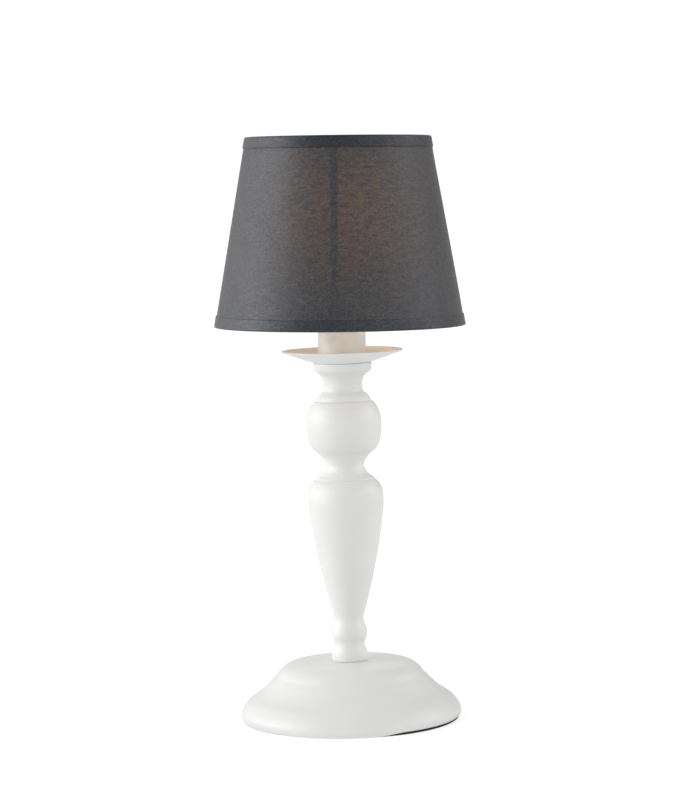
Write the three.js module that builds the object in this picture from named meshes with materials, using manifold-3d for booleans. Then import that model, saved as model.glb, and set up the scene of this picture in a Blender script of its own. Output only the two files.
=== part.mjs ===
// Candlestick table lamp with a tapered fabric shade. Millimetres, +Z up, origin at
// the centre of the resting face, -Y is the front and the cord inlet is at the back (+Y).
import * as THREE from "three";
import { mergeVertices } from "three/addons/utils/BufferGeometryUtils.js";
import Module from "manifold-3d";

const wasm = await Module();
wasm.setup();

// ---------------------------------------------------------------- driving dimensions
const GAP = 0.3; // clearance left between neighbouring solids
const SEG = 32; // facets round the large turned pieces
const SEG_S = 24; // facets round the small ones
const SEG_SHADE = 40; // facets round the shade

// shade
const SHADE_R_BOTTOM = 100.0; // over the bottom trim
const SHADE_R_TOP = 73.5; // over the top trim
const SHADE_Z_BOTTOM = 314.9;
const SHADE_Z_TOP = 463.4;
const TRIM_H = 9.0; // visible height of the fabric trims
const TRIM_T = 0.5;
const COVER_T = 0.7; // fabric on its stiff liner
const RING_WIRE_R = 1.3;
const ARM_R = 1.3;

// tube through the whole lamp
const ROD_R = 5.0; // M10 x 1
const ROD_BORE = 3.5;
const ROD_Z0 = 3.0;
const ROD_Z1 = 300.0;
const ROD_HOLE = ROD_R + 0.4;

// base
const BASE_T = 1.4;
const PAD_R = 84.6;
const PAD_T = 1.8;
const INLET_Z = 7.4; // height of the cord inlet
const INLET_R = 4.2;

// candle sleeve and lampholder (E27)
const SLEEVE_R = 19.0;
const SLEEVE_IN = 17.5;
const PAN_Z = 285.6; // underside of the pan's flat centre
const PAN_T = 1.0;
const SHOULDER_Z = 333.3; // underside of the lampholder's shoulder
const HOLDER_TOP = 350.0;
const THREAD_R = 19.5; // outside thread of the lampholder
const NUT_Z = 337.1;
const NUT_H = 8.0;
const NUT_R = 24.6;

// E27 candle bulb
const CAP_R = 13.1;
const BULB_R = 17.5;
const BULB_Z0 = 351.8;
const BULB_Z1 = 428.5;

// ---------------------------------------------------------------- helpers
// A three.js geometry as a manifold solid.
function solid(geometry) {
  const g = geometry.clone();
  g.deleteAttribute("normal");
  g.deleteAttribute("uv");
  const m = mergeVertices(g, 1e-4);
  const index = m.index.array;
  const tri = [];
  for (let i = 0; i < index.length; i += 3) {
    const [a, b, c] = [index[i], index[i + 1], index[i + 2]];
    if (a !== b && b !== c && a !== c) tri.push(a, b, c);
  }
  let s = new wasm.Manifold(
    new wasm.Mesh({
      numProp: 3,
      vertProperties: new Float32Array(m.attributes.position.array),
      triVerts: new Uint32Array(tri),
    }),
  );
  return s;
}
// A manifold solid back as a three.js geometry.
function geometryOf(s) {
  const m = s.getMesh();
  const v = new Float32Array(m.numVert * 3);
  for (let i = 0; i < m.numVert; i++)
    v.set(m.vertProperties.subarray(i * m.numProp, i * m.numProp + 3), i * 3);
  const g = new THREE.BufferGeometry();
  g.setAttribute("position", new THREE.BufferAttribute(v, 3));
  g.setIndex(new THREE.BufferAttribute(new Uint32Array(m.triVerts), 1));
  g.computeVertexNormals();
  return g;
}
// Twice the signed area of a closed outline.
function area2(p) {
  let a = 0;
  for (let i = 0; i < p.length; i++) {
    const [x0, y0] = p[i];
    const [x1, y1] = p[(i + 1) % p.length];
    a += x0 * y1 - x1 * y0;
  }
  return a;
}
// A turned piece about Z from an outline of [radius, height] points. An outline that
// begins and ends on the axis makes a solid end, any other is closed into a ring.
function turned(points, seg = SEG) {
  let p = points.slice();
  if (area2(p) < 0) p.reverse();
  const onAxis = p[0][0] === 0 && p[p.length - 1][0] === 0;
  if (!onAxis) {
    const i0 = p.findIndex(
      (q, i) => q[0] === 0 && p[(i + p.length - 1) % p.length][0] === 0,
    );
    if (i0 > 0) p = p.slice(i0).concat(p.slice(0, i0));
    else p.push(p[0]);
  }
  const g = new THREE.LatheGeometry(
    p.map(([r, z]) => new THREE.Vector2(r, z)),
    seg,
  );
  g.rotateX(Math.PI / 2); // the lathe axis is Y: stand it up
  return g;
}
// An outline in XY raised along Z.
function raised(shape, height, curveSegments = 12) {
  return new THREE.ExtrudeGeometry(shape, {
    depth: height,
    bevelEnabled: false,
    curveSegments,
  });
}
function circlePath(r, n, Target = THREE.Path) {
  const c = new Target();
  for (let i = 0; i < n; i++) {
    const a = (2 * Math.PI * i) / n;
    if (i === 0) c.moveTo(r, 0);
    else c.lineTo(r * Math.cos(a), r * Math.sin(a));
  }
  c.closePath();
  return c;
}
function polygonShape(pts) {
  const s = new THREE.Shape();
  pts.forEach(([x, y], i) => (i ? s.lineTo(x, y) : s.moveTo(x, y)));
  s.closePath();
  return s;
}
// A hexagon nut, across flats af, with a round hole.
function hexNut(af, hole, h) {
  const r = af / Math.sqrt(3);
  const s = polygonShape(
    [0, 1, 2, 3, 4, 5].map((i) => [
      r * Math.cos((i * Math.PI) / 3),
      r * Math.sin((i * Math.PI) / 3),
    ]),
  );
  s.holes.push(circlePath(hole, 24));
  return raised(s, h);
}
// A round tube along points.
function tube(points, r, steps, sides = 8, tension = 0.5) {
  const shape = circlePath(r, sides, THREE.Shape);
  const curve = new THREE.CatmullRomCurve3(
    points.map((p) => new THREE.Vector3(...p)),
    false,
    "catmullrom",
    tension,
  );
  return new THREE.ExtrudeGeometry(shape, {
    steps,
    bevelEnabled: false,
    extrudePath: curve,
  });
}
function ringTube(R, r, z, sides = 8, seg = SEG) {
  const g = new THREE.TorusGeometry(R, r, sides, seg);
  g.translate(0, 0, z);
  return g;
}
function box(x0, y0, z0, x1, y1, z1) {
  const g = new THREE.BoxGeometry(x1 - x0, y1 - y0, z1 - z0);
  g.translate((x0 + x1) / 2, (y0 + y1) / 2, (z0 + z1) / 2);
  return g;
}
function cylinderY(r, y0, y1, z, seg = 24) {
  const g = new THREE.CylinderGeometry(r, r, y1 - y0, seg);
  g.translate(0, (y0 + y1) / 2, z);
  return g;
}
function cylinderX(r, x0, x1, z, seg = 16) {
  const g = new THREE.CylinderGeometry(r, r, x1 - x0, seg);
  g.rotateZ(Math.PI / 2);
  g.translate((x0 + x1) / 2, 0, z);
  return g;
}

// ---------------------------------------------------------------- materials
const mat = (color, roughness, metalness, extra = {}) =>
  new THREE.MeshStandardMaterial({ color, roughness, metalness, ...extra });
const whitePaint = mat(0xe6e8e4, 0.38, 0.0);
const panPaint = mat(0xe2e3df, 0.36, 0.0);
const sleevePlastic = mat(0xe4ddd0, 0.45, 0.0);
const padFoam = mat(0x18181a, 0.95, 0.0);
const castIron = mat(0x3b3b3d, 0.7, 0.6);
const zinc = mat(0xa9adb0, 0.35, 1.0);
const brass = mat(0xb8964f, 0.3, 1.0);
const blackPlastic = mat(0x1c1c1e, 0.45, 0.0);
const whitePlastic = mat(0xdedcd6, 0.4, 0.0);
const ceramic = mat(0xe9e6de, 0.3, 0.0);
const fabric = mat(0x3f4145, 0.9, 0.0, { side: THREE.DoubleSide });
const trimFabric = mat(0x36393d, 0.9, 0.0);
const whiteWire = mat(0xe4e4e0, 0.4, 0.1);
const opalGlass = mat(0xfff2dc, 0.3, 0.0);
const alloyCap = mat(0xb9bbbd, 0.3, 1.0);
const blackGlass = mat(0x101012, 0.15, 0.0);
const clearGlass = mat(0xdfe6e6, 0.08, 0.0);
const tungsten = mat(0x5c5a57, 0.5, 1.0);

// ---------------------------------------------------------------- scene graph
const lamp = new THREE.Group();
const baseGroup = new THREE.Group();
const stemGroup = new THREE.Group();
const holderGroup = new THREE.Group();
const shadeGroup = new THREE.Group();
const bulbGroup = new THREE.Group();
lamp.add(baseGroup, stemGroup, holderGroup, shadeGroup, bulbGroup);

function add(group, name, geometry, material, z = 0) {
  const mesh = new THREE.Mesh(geometry, material);
  mesh.name = name;
  mesh.position.z = z;
  group.add(mesh);
  return mesh;
}

// ---------------------------------------------------------------- base
// Pressed shell: domed top, cove, soft ridge, full edge rolled in to a flat flange.
const shellOutline = [
  [85.3, 1.0],
  [87.2, 1.9],
  [88.0, 5.2],
  [87.3, 8.6],
  [84.0, 13.9],
  [80.2, 17.8],
  [74.5, 21.5],
  [68.0, 26.8],
  [62.0, 32.9],
  [57.8, 37.8],
  [54.2, 42.0],
  [48.0, 45.1],
  [40.0, 46.3],
  [ROD_HOLE, 46.5],
  [ROD_HOLE, 46.5 - BASE_T],
  [40.0, 44.9],
  [47.2, 43.8],
  [53.0, 40.9],
  [57.5, 35.2],
  [66.9, 25.9],
  [73.6, 20.4],
  [80.2, 15.7],
  [85.4, 9.0],
  [86.5, 5.3],
  [84.8, 3.3],
  [79.0, 3.3],
  [79.0, 2.1],
  [84.9, 2.1],
];
const shell = solid(turned(shellOutline)).subtract(
  solid(cylinderY(INLET_R, 70, 100, INLET_Z)),
);
add(baseGroup, "base_shell", geometryOf(shell), whitePaint);

// Round pad glued under the flange: the face the lamp rests on.
add(
  baseGroup,
  "base_pad",
  turned([
    [0, 0],
    [PAD_R - 0.4, 0],
    [PAD_R, 0.4],
    [PAD_R, PAD_T],
    [0, PAD_T],
  ]),
  padFoam,
);

// Cast weight: a disc with a boss that bears on the shell's top, a pocket for the
// nut under it, and a channel that takes the cord to the inlet.
const WEIGHT_Z = 2.4;
const WEIGHT_POCKET = 9.4;
const weight = solid(
  turned(
    [
      [14.0, WEIGHT_Z],
      [59.0, WEIGHT_Z],
      [60.0, WEIGHT_Z + 1],
      [60.0, 10.4],
      [59.0, 11.4],
      [22.5, 11.4],
      [19.5, 14.4],
      [18.0, 46.5 - BASE_T - GAP],
      [ROD_HOLE, 46.5 - BASE_T - GAP],
      [ROD_HOLE, WEIGHT_POCKET],
      [14.0, WEIGHT_POCKET],
    ],
    SEG_S,
  ),
).subtract(solid(box(-4, 12, 1, 4, 62, WEIGHT_POCKET)));
add(baseGroup, "base_weight", geometryOf(weight), castIron);

// Bush in the cord inlet.
const bush = turned(
  [
    [3.15, 0],
    [3.5, 0],
    [3.85, 0.8],
    [3.85, 7.3],
    [4.9, 7.3],
    [4.9, 8.3],
    [4.4, 8.8],
    [3.4, 8.8],
    [3.15, 8.4],
  ],
  16,
);
bush.rotateX(-Math.PI / 2); // its axis runs along Y, flange outside
const bushMesh = add(baseGroup, "cord_bush", bush, blackPlastic);
bushMesh.position.set(0, 80.95, INLET_Z);

const washer = (r0, r1, t, seg = 16) =>
  turned(
    [
      [r0, 0],
      [r1, 0],
      [r1, t],
      [r0, t],
    ],
    seg,
  );
add(baseGroup, "base_washer", washer(ROD_HOLE, 12, 1.3), zinc, 7.8);
// Ring terminal for the earth core, under the washer.
const tagShape = circlePath(8, 24, THREE.Shape);
tagShape.holes.push(circlePath(ROD_HOLE, 24));
const tag = solid(raised(tagShape, 0.6)).add(
  solid(box(-2.2, 6.0, 0, 2.2, 13.2, 0.6)),
);
add(baseGroup, "earth_tag", geometryOf(tag), brass, 6.9);
add(baseGroup, "base_nut", hexNut(14, ROD_HOLE, 3.2), zinc, 3.4);

// Threaded tube that draws the whole stem together.
add(
  stemGroup,
  "lamp_tube",
  turned(
    [
      [ROD_BORE, ROD_Z0],
      [ROD_R - 0.4, ROD_Z0],
      [ROD_R, ROD_Z0 + 0.4],
      [ROD_R, ROD_Z1 - 0.4],
      [ROD_R - 0.4, ROD_Z1],
      [ROD_BORE, ROD_Z1],
    ],
    24,
  ),
  zinc,
);

// ---------------------------------------------------------------- turned stem
// Each section is a cast hollow shell, closed round the tube at both ends.
const lowerOutline = [
  [ROD_HOLE, 46.8],
  [13.6, 46.8],
  [14.2, 47.8],
  [14.1, 53.2],
  [12.3, 57.8],
  [12.15, 61.8],
  [13.8, 65.7],
  [14.3, 68.4],
  [13.8, 72.8],
  [12.2, 76.6],
  [11.7, 80.8],
  [13.35, 88.1],
  [17.35, 102.6],
  [21.1, 118.7],
  [24.45, 134.7],
  [27.3, 150.8],
  [29.3, 165.5],
  [30.1, 174.0],
  [29.5, 181.5],
  [27.6, 187.0],
  [24.2, 190.4],
  [22.4, 191.0],
  [ROD_HOLE, 191.0],
  [ROD_HOLE, 188.6],
  [22.0, 188.6],
  [26.6, 183.5],
  [27.9, 174.4],
  [25.2, 150.8],
  [18.9, 118.7],
  [9.6, 84.0],
  [9.4, 78.0],
  [11.4, 69.0],
  [9.8, 60.0],
  [11.6, 49.2],
  [ROD_HOLE, 49.2],
];
add(stemGroup, "stem_lower", turned(lowerOutline, 20), whitePaint);

const middleOutline = [
  [ROD_HOLE, 191.3],
  [22.3, 191.3],
  [20.6, 193.8],
  [16.9, 198.4],
  [15.25, 203.4],
  [16.2, 207.0],
  [20.5, 212.9],
  [23.2, 214.9],
  [26.6, 218.8],
  [29.2, 227.0],
  [29.87, 235.5],
  [28.9, 244.3],
  [26.4, 249.9],
  [23.9, 252.9],
  [22.8, 253.6],
  [ROD_HOLE, 253.6],
  [ROD_HOLE, 251.2],
  [22.0, 251.2],
  [26.6, 244.0],
  [27.6, 235.5],
  [26.4, 225.0],
  [22.8, 217.6],
  [17.4, 212.4],
  [13.1, 204.5],
  [14.6, 198.6],
  [18.4, 193.7],
  [ROD_HOLE, 193.7],
];
add(stemGroup, "stem_middle", turned(middleOutline, 20), whitePaint);

const upperOutline = [
  [ROD_HOLE, 253.9],
  [22.7, 253.9],
  [20.4, 257.8],
  [17.2, 261.9],
  [15.68, 267.6],
  [16.6, 273.0],
  [20.4, 277.3],
  [22.8, 279.4],
  [23.05, 281.5],
  [23.0, 285.3],
  [ROD_HOLE, 285.3],
  [ROD_HOLE, 282.9],
  [20.7, 282.9],
  [20.2, 280.2],
  [15.4, 275.8],
  [13.5, 268.5],
  [15.2, 261.0],
  [18.6, 256.3],
  [ROD_HOLE, 256.3],
];
add(stemGroup, "stem_upper", turned(upperOutline, 20), whitePaint);

// Drip pan: a shallow spun dish with a rolled rim.
const PAN_TOP = PAN_Z + PAN_T;
const panOutline = [
  [ROD_HOLE, PAN_Z],
  [22.6, PAN_Z],
  [31.8, 288.4],
  [47.2, 293.6],
  [48.3, 294.6],
  [47.4, 295.3],
  [45.4, 294.3],
  [31.4, 289.5],
  [22.4, PAN_TOP],
  [ROD_HOLE, PAN_TOP],
];
add(stemGroup, "drip_pan", turned(panOutline), panPaint);
add(
  stemGroup,
  "pan_washer",
  washer(ROD_HOLE, 11, 1.2),
  zinc,
  PAN_TOP + GAP,
);
add(stemGroup, "pan_nut", hexNut(14, ROD_HOLE, 4), zinc, 288.4);

// ---------------------------------------------------------------- candle sleeve and lampholder
add(
  holderGroup,
  "candle_sleeve",
  turned([
    [SLEEVE_IN, PAN_TOP + GAP],
    [SLEEVE_R, PAN_TOP + GAP],
    [SLEEVE_R, SHOULDER_Z - GAP],
    [SLEEVE_IN, SHOULDER_Z - GAP],
  ]),
  sleevePlastic,
);

const capSolid = solid(
  turned(
    [
      [ROD_HOLE, 293.2],
      [8.0, 293.2],
      [8.0, 299.2],
      [13.0, 300.6],
      [16.4, 303.6],
      [17.0, 306.5],
      [17.0, 311.0],
      [15.4, 311.0],
      [15.4, 306.5],
      [14.6, 304.2],
      [12.0, 302.2],
      [ROD_HOLE, 301.0],
    ],
    SEG_S,
  ),
).subtract(solid(cylinderX(1.9, 4, 10, 296.4)));
add(holderGroup, "holder_cap", geometryOf(capSolid), blackPlastic);
// Grub screw that locks the cap on the tube.
add(
  holderGroup,
  "holder_set_screw",
  cylinderX(1.5, ROD_R + 0.35, 8.3, 296.4),
  zinc,
);

// Outer shell: plain skirt inside the sleeve, shoulder for the shade, outside thread.
add(
  holderGroup,
  "holder_body",
  turned(
    [
    [15.4, 311.3],
    [17.0, 311.3],
    [17.0, SHOULDER_Z],
    [22.0, SHOULDER_Z],
    [22.0, SHOULDER_Z + 1.7],
    [THREAD_R, SHOULDER_Z + 1.7],
    [THREAD_R, HOLDER_TOP - 0.8],
    [THREAD_R - 0.8, HOLDER_TOP],
    [14.4, HOLDER_TOP],
    [14.0, HOLDER_TOP - 0.5],
    [14.0, HOLDER_TOP - 1.6],
    [15.4, HOLDER_TOP - 2.4],
  ],
    SEG_S,
  ),
  blackPlastic,
);
// Contact carrier with the holes for its two terminal screws.
const insertSolid = solid(
  turned(
    [
      [0, 314.2],
      [13.6, 314.2],
      [15.0, 315.2],
      [15.0, 321.6],
      [0, 321.6],
    ],
    SEG_S,
  ),
)
  .subtract(
    solid(
      new THREE.CylinderGeometry(1.9, 1.9, 8, 16)
        .rotateX(Math.PI / 2)
        .translate(8, 0, 314.6),
    ),
  )
  .subtract(
    solid(
      new THREE.CylinderGeometry(1.9, 1.9, 8, 16)
        .rotateX(Math.PI / 2)
        .translate(-8, 0, 314.6),
    ),
  );
add(holderGroup, "contact_carrier", geometryOf(insertSolid), ceramic);
const terminalScrew = () =>
  turned(
    [
      [0, 0],
      [2.6, 0],
      [2.9, 0.4],
      [2.9, 2.0],
      [1.5, 2.0],
      [1.5, 6.2],
      [0, 6.2],
    ],
    16,
  );
for (const [name, x] of [
  ["terminal_screw_live", 8],
  ["terminal_screw_neutral", -8],
]) {
  add(holderGroup, name, terminalScrew(), zinc, 311.9).position.x = x;
}
// Screw shell that takes the bulb's cap.
add(
  holderGroup,
  "screw_shell",
  turned(
    [
      [11.2, 321.9],
      [14.3, 321.9],
      [14.3, 347.3],
      [13.6, 347.3],
      [13.6, 322.5],
      [11.2, 322.5],
    ],
    SEG_S,
  ),
  brass,
);
// Sprung centre contact: a bent strip under the bulb's contact.
const strip = raised(
  polygonShape([
    [-9.6, 0],
    [-5.2, 0],
    [-2.6, 0.9],
    [3.4, 1.0],
    [5.0, 0.5],
    [5.2, 0.8],
    [3.6, 1.4],
    [-2.8, 1.3],
    [-5.4, 0.4],
    [-9.6, 0.4],
  ]),
  5,
);
strip.rotateX(Math.PI / 2); // the bend stands up, the width runs along Y
strip.translate(0, 2.5, 0);
add(holderGroup, "centre_contact", strip, brass, 321.85);

// ---------------------------------------------------------------- shade
const slope = (SHADE_R_BOTTOM - SHADE_R_TOP) / (SHADE_Z_TOP - SHADE_Z_BOTTOM);
const shadeR = (z) => SHADE_R_BOTTOM - (z - SHADE_Z_BOTTOM) * slope; // over the trims
const COVER_OUT = TRIM_T + GAP;
const COVER_IN = COVER_OUT + COVER_T;
const coverZ0 = SHADE_Z_BOTTOM + TRIM_T + GAP;
const coverZ1 = SHADE_Z_TOP - TRIM_T - GAP;
add(
  shadeGroup,
  "shade_cover",
  turned(
    [
      [shadeR(coverZ0) - COVER_IN, coverZ0],
      [shadeR(coverZ0) - COVER_OUT, coverZ0],
      [shadeR(coverZ1) - COVER_OUT, coverZ1],
      [shadeR(coverZ1) - COVER_IN, coverZ1],
    ],
    SEG_SHADE,
  ),
  fabric,
);
// Top ring and its trim, folded over the ring to the inside.
const topRingZ = coverZ1 - RING_WIRE_R;
const topRingR = shadeR(topRingZ) - COVER_IN - GAP - RING_WIRE_R;
add(
  shadeGroup,
  "top_ring",
  ringTube(topRingR, RING_WIRE_R, topRingZ, 6, SEG_SHADE),
  whiteWire,
);
const tz0 = SHADE_Z_TOP - TRIM_H;
const topInner = topRingR - RING_WIRE_R - GAP;
add(
  shadeGroup,
  "top_trim",
  turned(
    [
      [shadeR(tz0) - TRIM_T, tz0],
      [shadeR(tz0), tz0],
      [SHADE_R_TOP, SHADE_Z_TOP],
      [topInner - TRIM_T, SHADE_Z_TOP],
      [topInner - TRIM_T, topRingZ - 1.6],
      [shadeR(topRingZ - 4) - COVER_IN - GAP - TRIM_T, topRingZ - 4],
      [shadeR(tz0) - COVER_IN - GAP - TRIM_T, tz0],
      [shadeR(tz0) - COVER_IN - GAP, tz0],
      [shadeR(topRingZ - 3.6) - COVER_IN - GAP, topRingZ - 3.6],
      [topInner, topRingZ - 1.5],
      [topInner, SHADE_Z_TOP - TRIM_T],
      [SHADE_R_TOP - TRIM_T + 0.1, SHADE_Z_TOP - TRIM_T],
    ],
    SEG_SHADE,
  ),
  trimFabric,
);
// Welded frame: bottom ring, three arms and the fitter ring that sits on the shoulder.
const botRingZ = coverZ0 + RING_WIRE_R;
const botRingR = shadeR(botRingZ) - COVER_IN - GAP - RING_WIRE_R - 0.3;
const fitterZ = SHOULDER_Z + 1.7 + GAP;
const fitterShape = circlePath(24.0, 32, THREE.Shape);
fitterShape.holes.push(circlePath(THREAD_R + 0.7, 32));
const fitter = raised(fitterShape, 1.5);
fitter.translate(0, 0, fitterZ);
let frame = solid(ringTube(botRingR, RING_WIRE_R, botRingZ, 6, SEG_SHADE)).add(
  solid(fitter),
);
for (const deg of [90, 210, 330]) {
  const a = (deg * Math.PI) / 180;
  const at = (r, z) => [r * Math.cos(a), r * Math.sin(a), z];
  frame = frame.add(
    solid(
      tube(
        [
          at(22.6, fitterZ + 0.4),
          at(32, fitterZ + 0.1),
          at(40, fitterZ - 1.6),
          at(70, 326.0),
          at(botRingR, botRingZ + 0.5),
        ],
        ARM_R,
        10,
        6,
      ),
    ),
  );
}
add(shadeGroup, "shade_frame", geometryOf(frame), whiteWire);
const bz1 = SHADE_Z_BOTTOM + TRIM_H;
const botInner = botRingR - RING_WIRE_R - GAP;
add(
  shadeGroup,
  "bottom_trim",
  turned(
    [
      [shadeR(bz1) - TRIM_T, bz1],
      [shadeR(bz1), bz1],
      [SHADE_R_BOTTOM, SHADE_Z_BOTTOM],
      [botInner + 0.2, SHADE_Z_BOTTOM],
      [botInner - TRIM_T, SHADE_Z_BOTTOM + 0.6],
      [botInner - TRIM_T, botRingZ - 0.2],
      [botInner, botRingZ - 0.2],
      [botInner + 0.2, SHADE_Z_BOTTOM + TRIM_T],
      [SHADE_R_BOTTOM - TRIM_T - 0.05, SHADE_Z_BOTTOM + TRIM_T],
    ],
    SEG_SHADE,
  ),
  trimFabric,
);
// Ribbed ring nut that clamps the fitter ring.
const ribs = 32;
const nutShape = polygonShape(
  Array.from({ length: ribs * 2 }, (_, i) => {
    const a = (Math.PI * i) / ribs;
    const r = i % 2 ? NUT_R - 0.7 : NUT_R;
    return [r * Math.cos(a), r * Math.sin(a)];
  }),
);
nutShape.holes.push(circlePath(THREAD_R + 0.4, 36));
add(shadeGroup, "ring_nut", raised(nutShape, NUT_H), blackPlastic, NUT_Z);

// ---------------------------------------------------------------- candle bulb
const glassOuter = [
  [12.7, BULB_Z0],
  [13.4, 356.0],
  [16.4, 367.0],
  [BULB_R, 377.0],
  [16.4, 390.0],
  [12.6, 407.0],
  [7.6, 420.0],
  [3.2, 426.9],
  [0, BULB_Z1],
];
const glassInner = glassOuter
  .map(([r, z], i, all) =>
    r === 0 ? [0, z - 0.9] : [Math.max(r - 0.9, 0.8), Math.min(z, BULB_Z1 - 2)],
  )
  .reverse();
add(
  bulbGroup,
  "bulb_glass",
  turned([...glassInner, ...glassOuter], 20),
  opalGlass,
);
add(
  bulbGroup,
  "bulb_cap",
  turned(
    [
      [CAP_R - 0.4, 328.4],
      [CAP_R - 0.1, 328.4],
      [CAP_R, 329.0],
      [CAP_R, 351.4],
      [CAP_R - 0.4, 351.4],
    ],
    SEG_S,
  ),
  alloyCap,
);
add(
  bulbGroup,
  "bulb_insulator",
  turned(
    [
      [0, 325.1],
      [5.4, 325.1],
      [12.6, 328.0],
      [12.3, 328.2],
      [12.3, 330.2],
      [0, 330.2],
    ],
    SEG_S,
  ),
  blackGlass,
);
add(
  bulbGroup,
  "bulb_contact",
  turned(
    [
      [0, 323.6],
      [3.6, 323.7],
      [4.6, 324.3],
      [4.6, 324.8],
      [0, 324.8],
    ],
    24,
  ),
  zinc,
);
// Glass mount that carries the filament, and the filament's loop.
add(
  bulbGroup,
  "bulb_mount",
  turned(
    [
      [0, 331.0],
      [7.6, 331.0],
      [7.6, 334.0],
      [3.2, 348.0],
      [2.6, 368.0],
      [3.4, 372.5],
      [1.2, 377.0],
      [0, 377.4],
    ],
    20,
  ),
  clearGlass,
);
add(
  bulbGroup,
  "bulb_filament",
  tube(
    [
      [3.3, 0, 374.0],
      [5.6, 0, 383.0],
      [7.6, 0, 393.0],
      [4.8, 5.0, 397.0],
      [0, 7.0, 393.0],
      [-5.2, 4.4, 397.0],
      [-7.6, 0, 393.0],
      [-5.6, 0, 383.0],
      [-3.3, 0, 374.0],
    ],
    0.45,
    26,
    5,
  ),
  tungsten,
);

export default lamp;
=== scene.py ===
import math

import bpy
import numpy as np
from mathutils import Matrix


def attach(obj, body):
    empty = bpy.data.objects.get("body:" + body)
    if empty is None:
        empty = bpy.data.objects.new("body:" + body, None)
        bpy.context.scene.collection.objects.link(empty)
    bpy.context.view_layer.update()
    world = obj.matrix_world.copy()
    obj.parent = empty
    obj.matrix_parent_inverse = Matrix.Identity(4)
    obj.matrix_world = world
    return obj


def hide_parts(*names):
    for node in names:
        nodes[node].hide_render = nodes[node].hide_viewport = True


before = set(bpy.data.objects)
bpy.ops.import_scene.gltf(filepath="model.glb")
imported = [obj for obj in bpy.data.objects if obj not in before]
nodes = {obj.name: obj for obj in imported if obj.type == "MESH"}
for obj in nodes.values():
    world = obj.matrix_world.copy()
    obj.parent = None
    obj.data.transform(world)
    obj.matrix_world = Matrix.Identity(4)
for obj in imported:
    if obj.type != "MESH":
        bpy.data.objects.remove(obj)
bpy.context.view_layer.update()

scene = bpy.context.scene
MM = 0.001
TAU = 2 * math.pi

# ------------------------------------------------------------------ camera
# Fitted to the photograph: 2.2 m away, 427 mm above the table, 4.47 degrees down,
# 125 mm lens on a 36 mm long side, turned a little about its own axis.
cam_data = bpy.data.cameras.new("camera")
cam_data.sensor_width = 36.0
cam_data.lens = 125.15
cam_data.clip_start = 0.05
cam_data.clip_end = 200.0
cam = bpy.data.objects.new("camera", cam_data)
scene.collection.objects.link(cam)
cam.matrix_world = (
    Matrix.Translation((0.0053, -2.202, 0.4273))
    @ Matrix.Rotation(math.radians(90 - 4.47), 4, "X")
    @ Matrix.Rotation(math.radians(-1.5), 4, "Z")
)
scene.camera = cam
scene.view_settings.view_transform = "Standard"
scene.view_settings.look = "None"
scene.cycles.use_denoising = True
scene.cycles.denoiser = "OPENIMAGEDENOISE"
scene.cycles.denoising_input_passes = "RGB_ALBEDO_NORMAL"
scene.cycles.sample_clamp_indirect = 6.0
scene.cycles.max_bounces = 14
scene.cycles.diffuse_bounces = 5
scene.cycles.transmission_bounces = 8
scene.cycles.glossy_bounces = 4


# ------------------------------------------------------------------ outlines
def smooth_run(points, step):
    """Points along a centripetal Catmull-Rom curve through a run of points."""
    p = [np.array(q[:2], float) for q in points]
    if len(p) == 2:
        return [p[0], p[1]]
    ext = [2 * p[0] - p[1], *p, 2 * p[-1] - p[-2]]
    out = [p[0]]
    for i in range(1, len(ext) - 2):
        p0, p1, p2, p3 = ext[i - 1 : i + 3]
        t0 = 0.0
        t1 = t0 + max(np.linalg.norm(p1 - p0), 1e-6) ** 0.5
        t2 = t1 + max(np.linalg.norm(p2 - p1), 1e-6) ** 0.5
        t3 = t2 + max(np.linalg.norm(p3 - p2), 1e-6) ** 0.5
        k = max(1, int(math.ceil(np.linalg.norm(p2 - p1) / step)))
        for s in range(1, k + 1):
            t = t1 + (t2 - t1) * s / k
            a1 = (t1 - t) / (t1 - t0) * p0 + (t - t0) / (t1 - t0) * p1
            a2 = (t2 - t) / (t2 - t1) * p1 + (t - t1) / (t2 - t1) * p2
            a3 = (t3 - t) / (t3 - t2) * p2 + (t - t2) / (t3 - t2) * p3
            b1 = (t2 - t) / (t2 - t0) * a1 + (t - t0) / (t2 - t0) * a2
            b2 = (t3 - t) / (t3 - t1) * a2 + (t - t1) / (t3 - t1) * a3
            out.append((t2 - t) / (t2 - t1) * b1 + (t - t1) / (t2 - t1) * b2)
    return out


def outline(points, step=1.2):
    """An outline of [r, z] in mm. A third item marks a corner, where the curve isn't smooth."""
    runs, run = [], [points[0]]
    for q in points[1:]:
        run.append(q)
        if len(q) > 2:
            runs.append(run)
            run = [q]
    if len(run) > 1:
        runs.append(run)
    out = []
    for r in runs:
        s = smooth_run(r, step)
        out += s if not out else s[1:]
    return [(max(0.0, float(a)), float(b)) for a, b in out]


def arc(cx, cz, r, a0, a1, n):
    """Points round an arc, in degrees."""
    return [
        (
            cx + r * math.cos(math.radians(a0 + (a1 - a0) * i / n)),
            cz + r * math.sin(math.radians(a0 + (a1 - a0) * i / n)),
        )
        for i in range(n + 1)
    ]


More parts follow.
